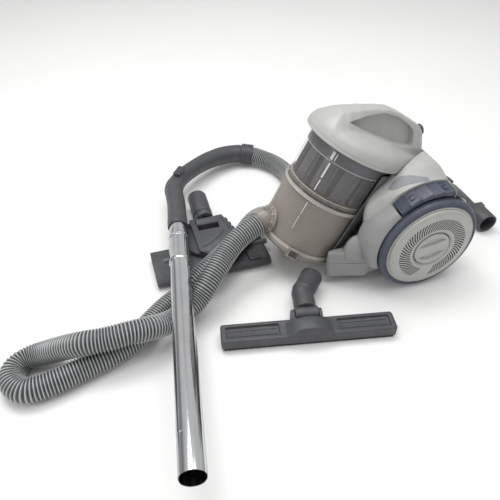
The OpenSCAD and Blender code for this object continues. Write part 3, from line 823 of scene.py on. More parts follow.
def make_bin():
    """Bands, painted highlight strips, dust film, bottom bowl and cyclone stage of the bin."""
    # two raised lines round the middle, where the cyclone stage meets the dust chamber
    lathe_piece("bin_middle_band", [(73.55, -2.4), (74.6, -2.3), (75.0, -1.4), (74.6, -0.5), (73.9, -0.1),
                                    (73.9, 1.3), (74.6, 1.7), (75.0, 2.5), (74.6, 3.3), (73.55, 3.4)],
                "dust_bin", RING_LIGHT, ["bin_mid_ring"])
    lathe_piece("bin_foot_band", [(73.55, -95.6), (74.8, -95.6), (75.1, -94.8), (74.6, -94.0),
                                  (73.9, -93.5), (73.9, -91.9), (74.5, -91.5), (74.7, -90.8), (74.2, -90.2),
                                  (73.55, -90.1)],
                "dust_bin", RING_LIGHT)
    lathe_piece("gasket_line", [(73.6, 89.2), (74.3, 89.5), (74.4, 90.6), (73.6, 90.9)], "bin_lid", GASKET)
    lathe_piece("stage_line", [(70.9, 11.2), (71.2, 11.4), (71.2, 12.4), (70.9, 12.6), (69.4, 12.6),
                               (69.4, 11.2)],
                "dust_bin", RING_LIGHT)
    # slim raised strips down the side of the clear wall, near white: a painted highlight of a long lamp's
    # reflection
    parts = []
    for turn, wide, z0, z1 in ((-52.5, 4.6, 72, 86), (-48.0, 1.6, 73, 85), (-51.0, 3.2, 40, 67),
                               (-50.6, 1.9, 17, 37), (-49.6, 1.3, -30, -6), (-49.8, 1.0, -60, -33)):
        span = math.degrees(wide / 73.6) / 2
        rings = []
        for deg in (turn - span, turn + span):
            a = math.radians(deg)
            rings.append([(r * math.cos(a), r * math.sin(a), z) for r, z in
                          ((73.3, z0), (73.3, z1), (73.75, z1 - 0.8), (73.75, z0 + 0.8))])
        parts.append(loft(rings))
    v, f = merge(*parts)
    o = new_object("tube_painted_highlights", mesh_of("painted_highlight_strips", v, f, in_bin))
    finish_piece(o, "dust_bin", PAINTED_HIGHLIGHT, [], 40)
    # a fine film of dust on the inside of the chamber
    lathe_piece("chamber_film", [(70.9, -92), (70.9, -4), (70.3, -4), (70.3, -92)], "dust_bin", HAZE)
    # door: bowl with a flange
    prof = [(0, -20), (24, -20), (44, -19.2), (54, -17.4), (60, -15.4), (64.6, -12.6), (68.6, -9.8),
            (71.6, -7.0), (72.9, -4.4), (74.9, -4.0), (75.1, -3.2), (75.1, -0.8), (74.8, -0.2), (70.9, 0),
            (70.4, -4.4), (68.2, -7.2), (63.6, -10.4), (58.6, -13.4), (52, -15.6), (42, -17.0), (24, -17.6),
            (0, -17.6)]
    lathe_piece("bin_bowl", [(r, z + RING_LOW) for r, z in prof], "bin_door", BOWL,
                ["bin_door"])
    # hinge lug behind the bowl
    v, f = prism(rounded([(73.4, -3.8), (75.4, -3.6), (76.2, -2.2), (75.6, -0.8), (73.4, -0.4)], 0.7, 2),
                 -13, 13, "X")
    lug = new_object("bin_door_hinge", mesh_of("lug", [(x, y, z + RING_LOW) for x, y, z in v], f, in_bin))
    finish_piece(lug, "bin_door", SMOKE_THICK)
    # slate band inside the top of the tube, with a pale line under it
    lathe_piece("cyclone_top_band", [(70.8, 71), (70.8, 88.6), (66, 88.6), (64, 71)], "dust_bin", SLATE)
    lathe_piece("cyclone_pale_line", [(71.0, 68.6), (71.0, 70.2), (64, 70.2), (64, 68.6)], "dust_bin",
                SHELL)
    # panels of the cyclone stage
    parts = []
    count = 11
    for k in range(count):
        a0 = 2 * math.pi * (k + 0.10) / count
        a1 = 2 * math.pi * (k + 0.86) / count
        rings = []
        cols = 7
        drop = 12 + (3.5 if k % 3 == 0 else 0)
        for r0, z0, z1 in ((62.5, drop, 67.5), (67.0, drop + 1, 67.5)):
            rings.append([(r0 * math.cos(a0 + (a1 - a0) * i / cols),
                           r0 * math.sin(a0 + (a1 - a0) * i / cols), z0)
                          for i in range(cols + 1)]
                         + [(r0 * math.cos(a1 - (a1 - a0) * i / cols),
                             r0 * math.sin(a1 - (a1 - a0) * i / cols), z1)
                            for i in range(cols + 1)])
        parts.append(loft(rings))
        am = (a0 + a1) / 2 + (a1 - a0) * 0.28
        fin = [(56, drop), (69.4, drop + 2), (69.4, 66), (56, 67)]
        th = 0.9
        v = []
        for s in (-1, 1):
            for r, z in fin:
                v.append((r * math.cos(am) - s * th * math.sin(am),
                          r * math.sin(am) + s * th * math.cos(am), z))
        parts.append((v, [(0, 1, 2, 3), (7, 6, 5, 4), (0, 4, 5, 1), (1, 5, 6, 2), (2, 6, 7, 3),
                          (3, 7, 4, 0)]))
    v, f = merge(*parts)
    o = new_object("cyclone_panels", mesh_of("panels", v, f, in_bin))
    bevel(o, 0.4, 1, 40)
    finish_piece(o, "dust_bin", SHROUD, [], 40)
    lathe_piece("cyclone_core", [(0, 8), (24, 8), (44, 14), (56, 22), (58, 30), (58, 68), (62, 70.5),
                                 (62, 86), (0, 86)],
                "dust_bin", CORE, ["cyclone_cones"])
    # a clear floor under the cyclone stage
    lathe_piece("cyclone_floor", [(31.4, 4.6), (50, 5.2), (70.6, 7.6), (70.6, 8.8), (50, 6.6), (31.4, 6.0)],
                "dust_bin", SMOKE_THICK)
    # flange round the port
    for name, r_in, r_out, y0, y1 in (("port_flange", 17.1, 24.6, 71.0, 76.4),
                                      ("port_flange_lip", 17.1, 21.2, 76.3, 79.2)):
        prof = [(r_in, 0), (r_out, 0), (r_out, (y1 - y0) * 0.55), (r_out - 1.2, y1 - y0), (r_in, y1 - y0)]
        v, f = lathe(prof, 64)
        v = [(x, -(y0 + z), y - 79) for x, y, z in v]
        o = new_object(name, mesh_of(name, v, f, in_bin))
        bevel(o, 0.5, 2, 35)
        finish_piece(o, "dust_bin", SMOKE_THICK)
    parts = []
    for k in range(10):
        a = 2 * math.pi * k / 10 + 0.3
        v = []
        for r, y in ((17.5, 74), (24.0, 74), (23.2, 78.4), (17.5, 80.6)):
            for s in (-0.8, 0.8):
                v.append((r * math.cos(a) - s * math.sin(a), -y, -79 + r * math.sin(a) + s * math.cos(a)))
        parts.append((v, [(0, 2, 4, 6), (7, 5, 3, 1), (0, 1, 3, 2), (2, 3, 5, 4), (4, 5, 7, 6),
                          (6, 7, 1, 0)]))
    v, f = merge(*parts)
    o = new_object("port_ribs", mesh_of("port_ribs", v, f, in_bin))
    finish_piece(o, "dust_bin", RING_LIGHT)


# ---------------------------------------------------------------- fenders and skirt
def make_fender(side, name):
    """The arch over the wheel: a broad shelf under the pedal, and a narrow lip in front of it and behind."""
    rings = []
    for k in range(87):
        a = -17.8 + 129.4 * k / 86
        low = min(max((a - 86) / 24, 0), 1)
        if -16.4 < a < 41.2:
            pts = [(100.2, 89.8), (100.2, 100), (100.3, 104.5), (101, 105), (101.8, 104.8), (102.2, 104.2),
                   (102.3, 102), (102.3, 99), (102.3, 96), (102.3, 93), (102.3, 91), (102.3, 90.4),
                   (102.3, 89.8)]
        else:
            dome = [(100.2, 89.8), (92, 100), (92.2, 111), (96, 111.6), (102, 110.3), (108, 108),
                    (114, 105.2), (119.5, 102), (124, 98.6), (127.4, 95), (129.4, 91.8), (129.8, 90.4),
                    (129.4, 89.8)]
            flush = [(100.2, 89.8), (92, 96), (92.2, 103), (96, 103.6), (102, 103.8), (108, 103.4),
                     (114, 102.9), (119.5, 102.3), (124, 101.4), (127.6, 99.2), (129.4, 95), (129.8, 91.4),
                     (129.4, 89.8)]
            w = min(max((a - 41.2) / 22, 0), 1)
            w = w * w * (3 - 2 * w)
            pts = [(x0 + (x1 - x0) * w, r0 + (r1 - r0) * w) for (x0, r0), (x1, r1) in zip(flush, dome)]
            pts = [(x, r - low * max(r - 101, 0)) for x, r in pts]
        rings.append([arc_point(side, x, r, a) for x, r in pts])
    o = new_object(name + "_arch", mesh_of(name, *loft(rings)))
    finish_piece(o, "root", FLANK, [name], 34)
    # the dark tail behind the pedal
    rings = []
    for k in range(15):
        a = -16.4 - 22 * k / 14
        t = k / 14
        top = 101.5 - 7.5 * t * t
        pts = rounded([(101.5, 90.2), (101.5, top - 1), (104, top), (122, top - 1.5),
                       (127.5 - 5 * t, top - 5), (127.5 - 5 * t, 90.2)], [0.5, 1.2, 2, 2.5, 2, 0.8], 3)
        rings.append([arc_point(side, x, r, a) for x, r in pts])
    t = new_object(name + "_tail", mesh_of(name + "_tail", *loft(rings)))
    bevel(t, 0.7, 2, 50)
    finish_piece(t, "root", SEAL_GREY, [], 40)


def make_skirt():
    """The low deck in front of the wheels, with its two creases and the half-round boss on each side."""
    plan = [(76.2, -84), (107, -79), (107.6, -90), (104, -104), (98, -124), (91.5, -146), (88.5, -153.4),
            (84, -155.8), (80.6, -152), (79.6, -140), (79.0, -120)]
    for side in (1, -1):
        rings = []
        mids = (93, -112)
        for z, grow in ((17.5, -0.6), (18.4, 0), (33, 0.15), (46.2, 0.0), (46.5, -1.5), (47.7, -1.5),
                        (48.1, 0.2), (60, -0.2), (68.0, -0.9), (69.0, -1.8), (69.3, -4), (69.4, -9)):
            ring = []
            for x, y in rounded(plan, [0, 0, 4, 8, 8, 5, 3, 3, 3, 5, 5], 3):
                d = Vector((x - mids[0], y - mids[1]))
                s = 1 + grow / max(d.length, 8)
                yy = mids[1] + d.y * s
                xx = mids[0] + d.x * s
                zz = z
                if z < 20 and yy > -90:
                    zz = z + min((yy + 90) * 1.2, 9)
                ring.append((side * xx, yy, zz))
            rings.append(ring)
        label = "left" if side > 0 else "right"
        o = new_object(label + "_skirt", mesh_of("skirt", *loft(rings)))
        finish_piece(o, "root", FLANK, ["lower_chassis"] if side > 0 else [], 30)
        verts, faces = [], []
        n, rows = 40, 14
        for i in range(rows + 1):
            ph = math.pi / 2 * i / rows
            for k in range(n):
                a = 2 * math.pi * k / n
                verts.append((side * (92.5 + 14.5 * math.cos(ph) * math.cos(a)),
                              -108 + 23 * math.cos(ph) * math.sin(a),
                              60 + 41 * max(math.sin(ph), 0) ** 0.9))
        for i in range(rows):
            for k in range(n):
                j = (k + 1) % n
                faces.append((i * n + k, i * n + j, (i + 1) * n + j, (i + 1) * n + k))
        faces.append(tuple(range(n - 1, -1, -1)))
        b = new_object(label + "_boss", mesh_of("boss", verts, faces))
        bm = bmesh.new()
        bm.from_mesh(b.data)
        bmesh.ops.remove_doubles(bm, verts=bm.verts, dist=2e-6)
        bm.to_mesh(b.data)
        bm.free()
        cut(b, [bin_room(BOSS_ROOM)])
        finish_piece(b, "root", FLANK, [], 50)
    # the tub between the wheels
    tub = [(-78, 16), (60, 24), (80, 40), (86, 64), (-60, 64), (-84, 46), (-86, 40), (-84, 18)]
    o = new_object("lower_tub", mesh_of("tub", *prism(rounded(tub, [3, 6, 8, 3, 3, 4, 4, 4], 4), -100, 100,
                                                      "X")))
    cutters = [bin_room(SHELL_ROOM)]
    for s in (1, -1):
        v, f = lathe([(0, -1), (17, -1), (17, 34), (0, 34)], 48)
        cutters.append(new_object("cut", mesh_of("cut", v, f, lambda p,
                                                 s=s: (p[0] + s * 82, p[1] - 104, p[2]))))
        v, f = lathe([(0, 0), (73, 0), (73, 30), (0, 30)], 96)
        cutters.append(new_object("cut", mesh_of("cut", v, f, lambda p,
                                                 s=s: (s * (99 + p[2]), p[0], AXLE_Z + p[1]))))
    cut(o, cutters)
    bevel(o, 0.9, 2, 45)
    finish_piece(o, "root", SHELL, [], 40)


def drape(name, outline, side, thick, mat):
    """A thin plate laid on a shell: its outline is given by places seen from straight above the slope."""
    shell = bpy.data.objects["body_shell"]
    tree = BVHTree.FromObject(shell, bpy.context.evaluated_depsgraph_get())
    way = Vector((-0.42 * side, 0.12, -0.9)).normalized()
    flat = rounded([(x, y) for x, y in outline], 3.2, 5)
    mid = (sum(p[0] for p in flat) / len(flat), sum(p[1] for p in flat) / len(flat))
    rings = []
    for share, lift in ((0.001, thick), (0.25, thick), (0.5, thick), (0.75, thick), (0.93, thick),
                        (0.985, thick * 0.75), (1.0, -0.6)):
        ring = []
        for x, y in flat:
            px, py = mid[0] + (x - mid[0]) * share, mid[1] + (y - mid[1]) * share
            start = put((side * px, py, 190)) - way * 0.12
            hit, normal = tree.ray_cast(start, way)[:2]
            ring.append((hit + normal * (lift / 1000)) if hit else start + way * 0.12)
        rings.append(ring)
    v, f = loft(rings)
    mesh = bpy.data.meshes.new(name)
    mesh.from_pydata([tuple(p) for p in v], [], f)
    o = new_object(name, mesh)
    return finish_piece(o, "root", mat, [], 40)


def make_shoulders():
    """The cool grey panel on each shoulder."""
    for side, word in ((1, "left"), (-1, "right")):
        drape(word + "_shoulder_panel", [(92, -69), (79, -55), (73, -39), (76, -25), (88, 3), (96.5, 2),
                                         (93, -34), (96, -60)], side, 0.5, PANEL)


# ---------------------------------------------------------------- hose ends, grip and wand
PORT_END = Vector((4.3, -247.9, 96.5))
PORT_DIR = Vector((0.42, -0.87, -0.26)).normalized()
END_DIR = Vector((-0.42, -0.9, 0.05)).normalized()
WAND_FAR = Vector((-80, -378, 48))
WAND_NEAR = Vector((404, -454.6, 112))
WAND_DIR = (WAND_NEAR - WAND_FAR).normalized()
WAND_LEN = (WAND_NEAR - WAND_FAR).length
# the way from the wand's middle to the camera, which the middle of the chrome's painted reflection bands
# faces
WAND_TO_CAMERA = Vector((480.2, -53, 556))


def turned(at, direction):
    """A frame function: Z of the local frame points along direction from at."""
    q = Vector((0, 0, 1)).rotation_difference(Vector(direction))
    return lambda p: Vector(at) + q @ Vector(p)


def turned_piece(name, profile, at, direction, body, mat, hides=(), sides=64, angle=40):
    """A turned piece that starts at a point and runs along a direction."""
    v, f = lathe(profile, sides)
    o = new_object(name, mesh_of(name, v, f, turned(at, direction)))
    return finish_piece(o, body, mat, hides, angle)


def make_cuffs():
    """The stepped collars at both ends of the hose."""
    length = (Vector(HOSE_ROUTE[0]) - PORT_END).length
    prof = [(14.8, 0.3), (19.2, 0.3), (19.4, 0.9)]
    n = 3
    for k in range(n):
        a = 0.9 + (length - 1.6) * k / n
        b = 0.9 + (length - 1.6) * (k + 1) / n
        prof += [(19.5, a + 0.3), (19.5, a + (b - a) * 0.5), (18.6, a + (b - a) * 0.6), (18.6, b - 0.2)]
    prof += [(19.4, length - 0.4), (19.2, length), (14.8, length)]
    turned_piece("port_collar", prof, PORT_END, PORT_DIR, "hose_bin_cuff", SMOKE_THICK,
                 ["hose_bin_cuff"])
    end = Vector(HOSE_ROUTE[-1])
    prof = [(19.1, -0.0), (21.2, 0.0), (22.0, 0.6)]
    for k in range(5):
        a = 1 + 4.6 * k
        prof += [(22.4, a), (22.5, a + 1.2), (22.4, a + 2.9), (21.3, a + 3.2), (21.3, a + 4.3)]
    prof += [(22.4, 24.4), (22.4, 25.4), (21.6, 26.0), (15, 26.0), (15, 2)]
    turned_piece("grip_collar", prof, end, END_DIR, "hose_grip_cuff", DARK,
                 ["hose_grip_cuff"])


def make_grip():
    """The curved grip tube with its soft pad."""
    end = Vector(HOSE_ROUTE[-1]) + END_DIR * 26.3
    route = [end, (-327, -222, 30), (-303, -273, 36), (-257, -328, 42), (-211, -358, 45.5),
             (-150, -366.8, 46), WAND_FAR]
    line = resample(catmull(route, 16), 2.4)
    if (line[-1] - WAND_FAR).length > 0.1:
        line.append(WAND_FAR)

    def radius(t):
        table = [(0, 19.3), (0.02, 19.9), (0.16, 19.9), (0.19, 19.0), (0.36, 17.6), (0.5, 17.4),
                 (0.60, 18.2), (0.66, 18.0), (0.8, 17.6), (0.9, 17.8), (0.965, 18.6), (0.985, 18.6),
                 (1, 17.6)]
        return along(table, t)

    def squash(t):
        w = math.exp(-((t - 0.45) / 0.2) ** 2)
        return (1 - 0.06 * w, 1 + 0.04 * w)
    v, f = sweep(line, radius, 48, squash=squash)
    o = new_object("grip_handle", mesh_of("grip", v, f))
    finish_piece(o, "root", DARK, ["grip"], 40)
    # the raised pad on the outside of the bend, and the seam along the side
    total = len(line) - 1
    fr = frames_along(line)

    def on_grip(t, a, r):
        i = t * total
        k = min(int(i), total - 1)
        p = line[k].lerp(line[k + 1], i - k)
        _, u, w = fr[k]
        return p + (u * math.cos(a) + w * math.sin(a)) * r
    verts, faces = [], []
    rows, cols = 26, 14
    for i in range(rows + 1):
        t = 0.565 + 0.135 * i / rows
        e = max(math.sin(math.pi * i / rows), 0) ** 0.45
        for k in range(cols + 1):
            a = -0.78 + 1.56 * k / cols
            g = max(math.sin(math.pi * k / cols), 0) ** 0.5
            s = 0.35 + 0.65 * e
            verts.append(on_grip(t, a * s, radius(t) - 1.2 + 3.0 * e * g))
    for i in range(rows):
        for k in range(cols):
            a = i * (cols + 1) + k
            faces.append((a, a + 1, a + cols + 2, a + cols + 1))
    pad = new_object("grip_pad", mesh_of("pad", verts, faces))
    finish_piece(pad, "root", DARK_SOFT, [], 60)


def make_wand():
    """The chromed wand with its two raised rings, and darker painted reflection bands along the chrome,
    turned to face the camera.
    """
    r = 16.25
    prof = [(15.05, 0.3), (r - 0.15, 0.3), (r, 0.8), (r, 34.6), (r + 0.7, 35.2), (r + 1.45, 36.4),
            (r + 1.6, 38.5), (r + 1.4, 40.4), (r + 0.5, 41.4), (r - 0.5, 41.8), (r - 0.6, 44.6),
            (r + 0.9, 45.2), (r + 1.1, 46.2), (r + 1.1, 107), (r + 1.5, 108.4), (r + 1.6, 110.5),
            (r + 1.35, 113), (r + 0.6, 114.8), (r, 115.4)]
    prof += [(r, 160), (r, 260), (r, 360), (r, WAND_LEN - 50), (16, WAND_LEN - 49.6), (16, WAND_LEN - 1.2),
             (15.9, WAND_LEN - 0.4), (15.5, WAND_LEN), (15.1, WAND_LEN - 0.3), (15.05, WAND_LEN - 1.5)]
    o = turned_piece("wand_tube", prof, WAND_FAR, WAND_DIR, "wand", CHROME,
                     ["wand", "wand_sleeve"], 96, 30)
    q = Vector((0, 0, 1)).rotation_difference(WAND_DIR)
    to_camera = q.inverted() @ WAND_TO_CAMERA
    first = math.atan2(to_camera.y, to_camera.x)
    # painted reflection: darker bands round the tube, placed by their angle from the camera
    bands = [(-1.25, 0.16, 0.75), (-0.86, 0.10, 0.9), (0.05, 0.09, 0.25), (0.62, 0.12, 0.7),
             (0.9, 0.16, 0.85), (1.3, 0.25, 0.6), (2.2, 0.2, 0.8), (2.9, 0.14, 0.6), (-2.3, 0.16, 0.8),
             (-1.8, 0.1, 0.5)]
    at = o.data.attributes.new("painted_reflection", "FLOAT", "POINT")
    n = len(prof)
    vals = []
    for k in range(96):
        a = 2 * math.pi * k / 96 - first
        a = (a + math.pi) % (2 * math.pi) - math.pi
        vals += [min(sum(w * math.exp(-((a - c) / g) ** 2) for c, g, w in bands), 1)] * n
    at.data.foreach_set("value", vals)
    nt = CHROME.node_tree
    b = nt.nodes["Principled BSDF"]
    attr = nt.nodes.new("ShaderNodeAttribute")
    attr.attribute_name = "painted_reflection"
    mix = nt.nodes.new("ShaderNodeMix")
    mix.data_type = "RGBA"
    nt.links.new(attr.outputs["Fac"], mix.inputs["Factor"])
    nt.links.new(b.inputs["Base Color"].links[0].from_socket, mix.inputs[6])
    # the dark colour of the painted reflection bands
    mix.inputs[7].default_value = srgb(92, 95, 100)
    nt.links.new(mix.outputs[2], b.inputs["Base Color"])


# ---------------------------------------------------------------- tools
def make_floor_tool():
    """The bare floor tool: a long bar with two framed pans, an arch in its middle and a bent neck."""
    turn = Matrix.Rotation(math.radians(78.6), 3, "Z")
    at = Vector((186.5, -227.5, 0))

    def here(p):
        return turn @ Vector(p) + at
    half = 138
    sec = rounded([(-18, 4), (18, 4), (18, 20.6), (15.6, 22), (-15.6, 22), (-18, 20.6)],
                  [2.5, 2.5, 1.2, 1, 1, 1.2], 3)
    rings = []
    for x, s in ((-half, 0.80), (-half + 1.2, 0.93), (-half + 3.4, 1.0), (0, 1), (half - 3.4, 1.0),
                 (half - 1.2, 0.93), (half, 0.80)):
        rings.append([(x, y * s, 12.5 + (z - 12.5) * s) for y, z in sec])
    o = new_object("floor_tool_bar", mesh_of("bar", *loft(rings), here))
    cutters = []
    for s in (-1, 1):
        out = rounded([(s * 88 - 42, -11.5), (s * 88 + 42, -11.5), (s * 88 + 42, 11.5),
                       (s * 88 - 42, 11.5)], 2.5, 4)
        c = (s * 88, 0)
        rings = [[(c[0] + (x - c[0]) * k, y * j, z) for x, y in out] for z, k, j in
                 ((26, 1.02, 1.08), (22, 1.0, 1.0), (17.6, 0.985, 0.93))]
        cutters.append(new_object("cut", mesh_of("cut", *loft(rings), here)))
    cutters.append(new_object("cut", mesh_of("cut", *prism([(-half + 4, -10), (half - 4, -10),
                                                            (half - 4, 10),
                                                            (-half + 4, 10)], 0, 9, "Z"), here)))
    cut(o, cutters)
    bevel(o, 0.8, 2, 40)
    finish_piece(o, "floor_tool", DARK, ["floor_tool"], 40)
    # raised lines inside the pans
    parts = []
    for s in (-1, 1):
        for y in (-5.2, 5.2):
            parts.append(prism(rounded([(s * 88 - 38, y - 0.6), (s * 88 + 38, y - 0.6),
                                        (s * 88 + 38, y + 0.6),
                                        (s * 88 - 38, y + 0.6)], 0.4, 1), 17.2, 18.4, "Z"))
    v, f = merge(*parts)
    finish_piece(new_object("floor_tool_lines", mesh_of("lines", v, f, here)), "floor_tool", DARK,
                 [], 40)
    # the arch that carries the neck
    prof = [(-41, 20.5), (-36, 22.4), (-29, 28.6), (-20, 34.6), (-10, 37.6), (0, 38.4), (10, 37.6),
            (20, 34.6), (29, 28.6), (36, 22.4), (41, 20.5)]
    rings = []
    for y, s in ((-17.6, 0.90), (-16.6, 0.97), (-14.4, 1.0), (0, 1.0), (8, 1.0), (9.6, 0.985)):
        rings.append([(x, y, 5) for x, z in (prof[0],)] + [(x * (0.97 + 0.03 * s), y, 20.5 + (z - 20.5) * s)
                     for x, z in prof] + [(prof[-1][0], y, 5)])
    o = new_object("floor_tool_arch", mesh_of("arch", *loft(rings), here))
    # room for the neck where it stands up
    notch = prism([(-19.6, 6.6), (19.6, 6.6), (19.6, 14), (-19.6, 14)], 0, 60, "Z")
    cut(o, [new_object("cut", mesh_of("cut", *notch, here))])
    bevel(o, 0.6, 2, 45)
    finish_piece(o, "floor_tool", DARK, [], 45)
    parts = []
    for s in (-1, 1):
        out = rounded([(9.4, 6), (33, 6), (33, 25), (28, 32.5), (20, 33), (9.4, 28)], [0, 2, 5, 5, 5, 2], 4)
        parts.append(loft([[(s * x, y, z) for y, z in out] for x in (19.6, 24.5)]))
    v, f = merge(*parts)
    o = new_object("floor_tool_ears", mesh_of("ears", v, f, here))
    bevel(o, 0.8, 2, 45)
    finish_piece(o, "floor_tool", DARK, [], 45)
    # bristle strips with tufts
    for y0 in (-17, 11):
        parts = []
        n = 90
        for k in range(n):
            x = -half + 4 + (2 * half - 8) * (k + 0.5) / n
            w = 1.3
            z1 = 4.4
            jx = random.uniform(-0.4, 0.4)
            parts.append(([(x - w + jx, y0 + 0.4, 0), (x + w + jx, y0 + 0.4, 0), (x + w + jx, y0 + 5.6, 0),
                           (x - w + jx, y0 + 5.6, 0), (x - w * 0.8, y0 + 0.9, z1),
                           (x + w * 0.8, y0 + 0.9, z1), (x + w * 0.8, y0 + 5.1, z1),
                           (x - w * 0.8, y0 + 5.1, z1)],
                          [(0, 3, 2, 1), (4, 5, 6, 7), (0, 1, 5, 4), (1, 2, 6, 5), (2, 3, 7, 6),
                           (3, 0, 4, 7)]))
        v, f = merge(*parts)
        hides = ["floor_tool_brush"] if y0 < 0 else []
        finish_piece(new_object("floor_tool_bristles_" + ("front" if y0 < 0 else "back"),
                                mesh_of("bristles", v, f, here)),
                     "floor_tool", BRISTLE, hides, 30)
    # the neck: a barrel in the arch, then a bent tube with its collar
    pivot = Vector((0, 24, 24))
    d1 = Vector((0.04, 1, 0.02)).normalized()
    d2 = Vector((0.5, 0.86, -0.08)).normalized()
    bend = pivot + Vector((1.7, 43.5, 1))
    route = [pivot + d1 * 7, pivot + d1 * 20, pivot + d1 * 33, bend, bend + d2 * 12, bend + d2 * 30,
             bend + d2 * 48]
    line = resample(catmull(route, 14), 1.5)

    def radius(t):
        return along([(0, 17.4), (0.1, 18.0), (0.42, 18.0), (0.47, 18.0), (0.475, 18.9), (0.52, 18.9),
                      (0.525, 18.3), (0.95, 18.9), (0.965, 19.2), (1.0, 19.0)], t)
    v, f = sweep(line, radius, 56)
    o = new_object("tool_neck_tube", mesh_of("neck", v, f, here))
    q = Vector((0, 0, 1)).rotation_difference(d2)
    cv, cf = lathe([(0, 0), (16.2, 0), (16.2, 44), (0, 44)], 56)
    cutter = new_object("cut", mesh_of("cut", cv, cf, lambda p: here(bend + d2 * 14 + q @ Vector(p))))
    cut(o, [cutter])
    bevel(o, 0.5, 2, 50)
    finish_piece(o, "floor_tool_neck", DARK, ["floor_tool_neck"], 40)
    v, f = lathe([(0, -18.8), (11, -18.8), (12, -17.8), (12, 17.8), (11, 18.8), (0, 18.8)], 48)
    v = [(z, 24 + x, 24 + y) for x, y, z in v]
    finish_piece(new_object("tool_neck_barrel", mesh_of("barrel", v, f, here)), "floor_tool_neck", DARK,
                 [], 35)


# ---------------------------------------------------------------- the combination head's relief
HEAD_AT = (-16, -333)


def on_head(p):
    """A point of the combination head's own axes, in the axle's frame."""
    return (HEAD_AT[0] - p[1], HEAD_AT[1] + p[0], p[2])


def make_head_relief():
    """Edges, knuckles, barrels and ribs on the combination head."""
    parts = []
    # a raised edge round the cover's tall side, a rib down its middle and a thin edge on its low side
    for line in ([(-10, 4, 34), (2, -1, 34), (24, 18, 34), (45, 37, 34), (51, 49, 34), (46.5, 72, 34),
                  (42, 93, 34)],
                 [(-10, 16, 34), (6, 22, 34), (28, 40, 34), (38, 54, 34)]):
        parts.append(sweep(catmull([Vector(p) for p in line], 5), 1.3, 10))
    parts.append(sweep(catmull([Vector(p) for p in ((-22, 8, 26.2), (-40, 31, 26.2), (-45, 50, 26.2),
                                                    (-30, 93, 26.2))],
                               5), 1.0, 10))
    v, f = merge(*parts)
    o = new_object("head_cover_edges", mesh_of("edges", v, f, on_head))
    finish_piece(o, "floor_head", DARK, [], 50)
    # knuckles along the far edge and the barrels of the neck's hinge
    rings = []
    for x, y in ((53.5, 56), (50.5, 70), (47.5, 84)):
        prof = [(0, 18.5), (7.2, 18.5), (7.2, 29), (6.4, 31.6), (4.6, 33.2), (2.2, 33.9), (0, 34)]
        v, f = lathe(prof, 32)
        rings.append(([(px + x, py + y, pz) for px, py, pz in v], f))
    for x0, x1 in ((-17, -8.2), (34.2, 43)):
        v, f = lathe([(0, x0), (8.4, x0), (9, x0 + 0.6), (9, x1 - 0.6), (8.4, x1), (0, x1)], 40)
        rings.append(([(pz, 86 + px, 25 + py) for px, py, pz in v], f))
    v, f = merge(*rings)
    o = new_object("head_cover_knuckles", mesh_of("knuckles", v, f, on_head))
    finish_piece(o, "floor_head", DARK, [], 40)
    # a barrel near each end of the base, and two rows of short ribs in front of them
    parts = []
    for x in (-70, 96):
        v, f = lathe([(0, x - 14), (4.2, x - 14), (5, x - 13), (5, x + 13), (4.2, x + 14), (0, x + 14)], 32)
        parts.append(([(pz, 16 + px, 17.5 + py) for px, py, pz in v], f))
    v, f = merge(*parts)
    o = new_object("head_base_barrels", mesh_of("barrels", v, f, on_head))
    finish_piece(o, "floor_head", MID, [], 40)
    parts = []
    for k in range(7):
        for x0 in (-92, 30):
            parts.append(prism(rounded([(x0 + k * 5, -26), (x0 + k * 5 + 2, -26), (x0 + k * 5 + 2, -12),
                                        (x0 + k * 5, -12)], 0.6, 2), 17.6, 19.0, "Z"))
    v, f = merge(*parts)
    o = new_object("head_base_ribs", mesh_of("ribs", v, f, on_head))
    finish_piece(o, "floor_head", DARK, [], 40)


# ---------------------------------------------------------------- the replaced shapes, built
# the shoulders are laid on the finished body, so they come after it
make_body()
make_lid()
make_bin()
make_skirt()
make_shoulders()
for side, word in ((1, "left"), (-1, "right")):
    make_tyre(side, word + "_tyre")
    make_cover(side, word + "_exhaust_cover")
    make_pedal(side, word + "_pedal")
    make_fender(side, word + "_fender")
make_cuffs()
make_grip()
make_wand()
make_floor_tool()
make_head_relief()

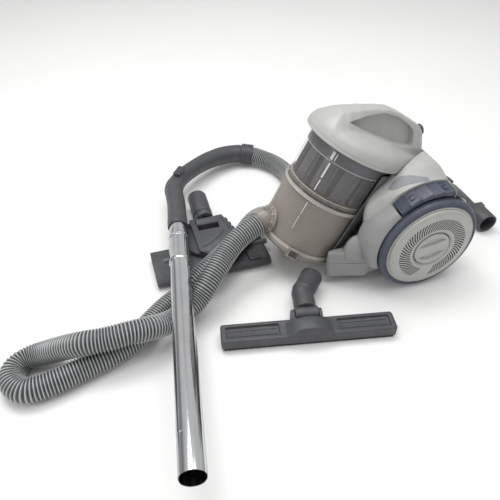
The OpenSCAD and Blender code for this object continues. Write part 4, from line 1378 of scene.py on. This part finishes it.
# ---------------------------------------------------------------- nodes that keep their CAD shape
LOOKS = {
    "motor_can": (STEEL, 0.6), "fan_rotor": (STEEL, 0.3), "chassis_screws": (STEEL, 0.3),
    "bin_cradle": (MID, 0.5), "fan_housing": (MID, 0.6), "inlet_duct": (MID, 0.5),
    "reel_bracket": (MID, 0.4),
    "motor_seals": (SEAL, 0.5), "cord_reel": (DARK, 0.5), "cord_outlet": (DARK, 0.8),
    "premotor_filter": (FILTER, 1.0),
    "bin_tube": (SMOKE, 0.0), "bin_port": (SMOKE_THICK, 0.5), "door_latch": (SMOKE_THICK, 0.4),
    "cyclone_shroud": (SHROUD, 0.4), "lid_gasket": (GASKET, 0.3),
    "grip_spigot": (DARK, 0.3), "bleed_slider": (DARK, 0.5), "crevice_tool": (DARK, 1.0),
    "head_base": (DARK, 1.0), "head_cover": (DARK, 1.0), "head_brush": (BRISTLE, 0.4),
    "head_pedal": (DARK, 0.6), "head_neck": (DARK, 0.8), "head_rollers": (TYRE, 0.8)}
for word in ("left", "right"):
    LOOKS[word + "_hub_drum"] = (MID, 0.5)
    LOOKS[word + "_exhaust_filter"] = (FILTER, 0.8)
    LOOKS[word + "_wheel_rim"] = (SHELL, 0.5)
    LOOKS[word + "_caster_yoke"] = (DARK, 0.6)
    LOOKS[word + "_caster_wheel"] = (TYRE, 0.8)
for node, (mat, width) in LOOKS.items():
    refine(node, mat, width)


# ---------------------------------------------------------------- stage and light
def make_stage():
    """The pale floor."""
    me = bpy.data.meshes.new("studio_floor")
    s = 6
    me.from_pydata([(-s, -s, -0.0006), (s, -s, -0.0006), (s, s, -0.0006), (-s, s, -0.0006)], [],
                   [(0, 1, 2, 3)])
    floor = new_object("studio_floor", me)
    floor.data.materials.append(material("floor_pale", srgb(246, 246, 245), srgb(242, 242, 241), (0.5, 0.6),
                                         3, bump=0))


def area(name, at, to, size, power, colour=(1, 1, 1)):
    """A rectangular lamp at a place, aimed at another."""
    ld = bpy.data.lights.new(name, "AREA")
    ld.shape = "RECTANGLE"
    ld.size, ld.size_y = size
    ld.energy = power
    ld.color = colour
    o = bpy.data.objects.new(name, ld)
    bpy.context.scene.collection.objects.link(o)
    o.location = at
    o.rotation_euler = (Vector(to) - Vector(at)).to_track_quat("-Z", "Y").to_euler()
    return o


make_stage()
world = bpy.data.worlds.new("studio")
bpy.context.scene.world = world
world.use_nodes = True
world.node_tree.nodes["Background"].inputs["Color"].default_value = (1, 1, 1, 1)
world.node_tree.nodes["Background"].inputs["Strength"].default_value = 0.5
bpy.context.scene.view_settings.view_transform = "Standard"
area("key", (-0.7, -0.5, 1.9), (0, -0.1, 0.1), (1.0, 0.8), 14)
area("strip", (0.4, -1.6, 0.9), (0, -0.1, 0.1), (0.2, 1.2), 4)
area("top", (0.0, 0.2, 2.2), (0, 0, 0), (1.8, 1.8), 25)
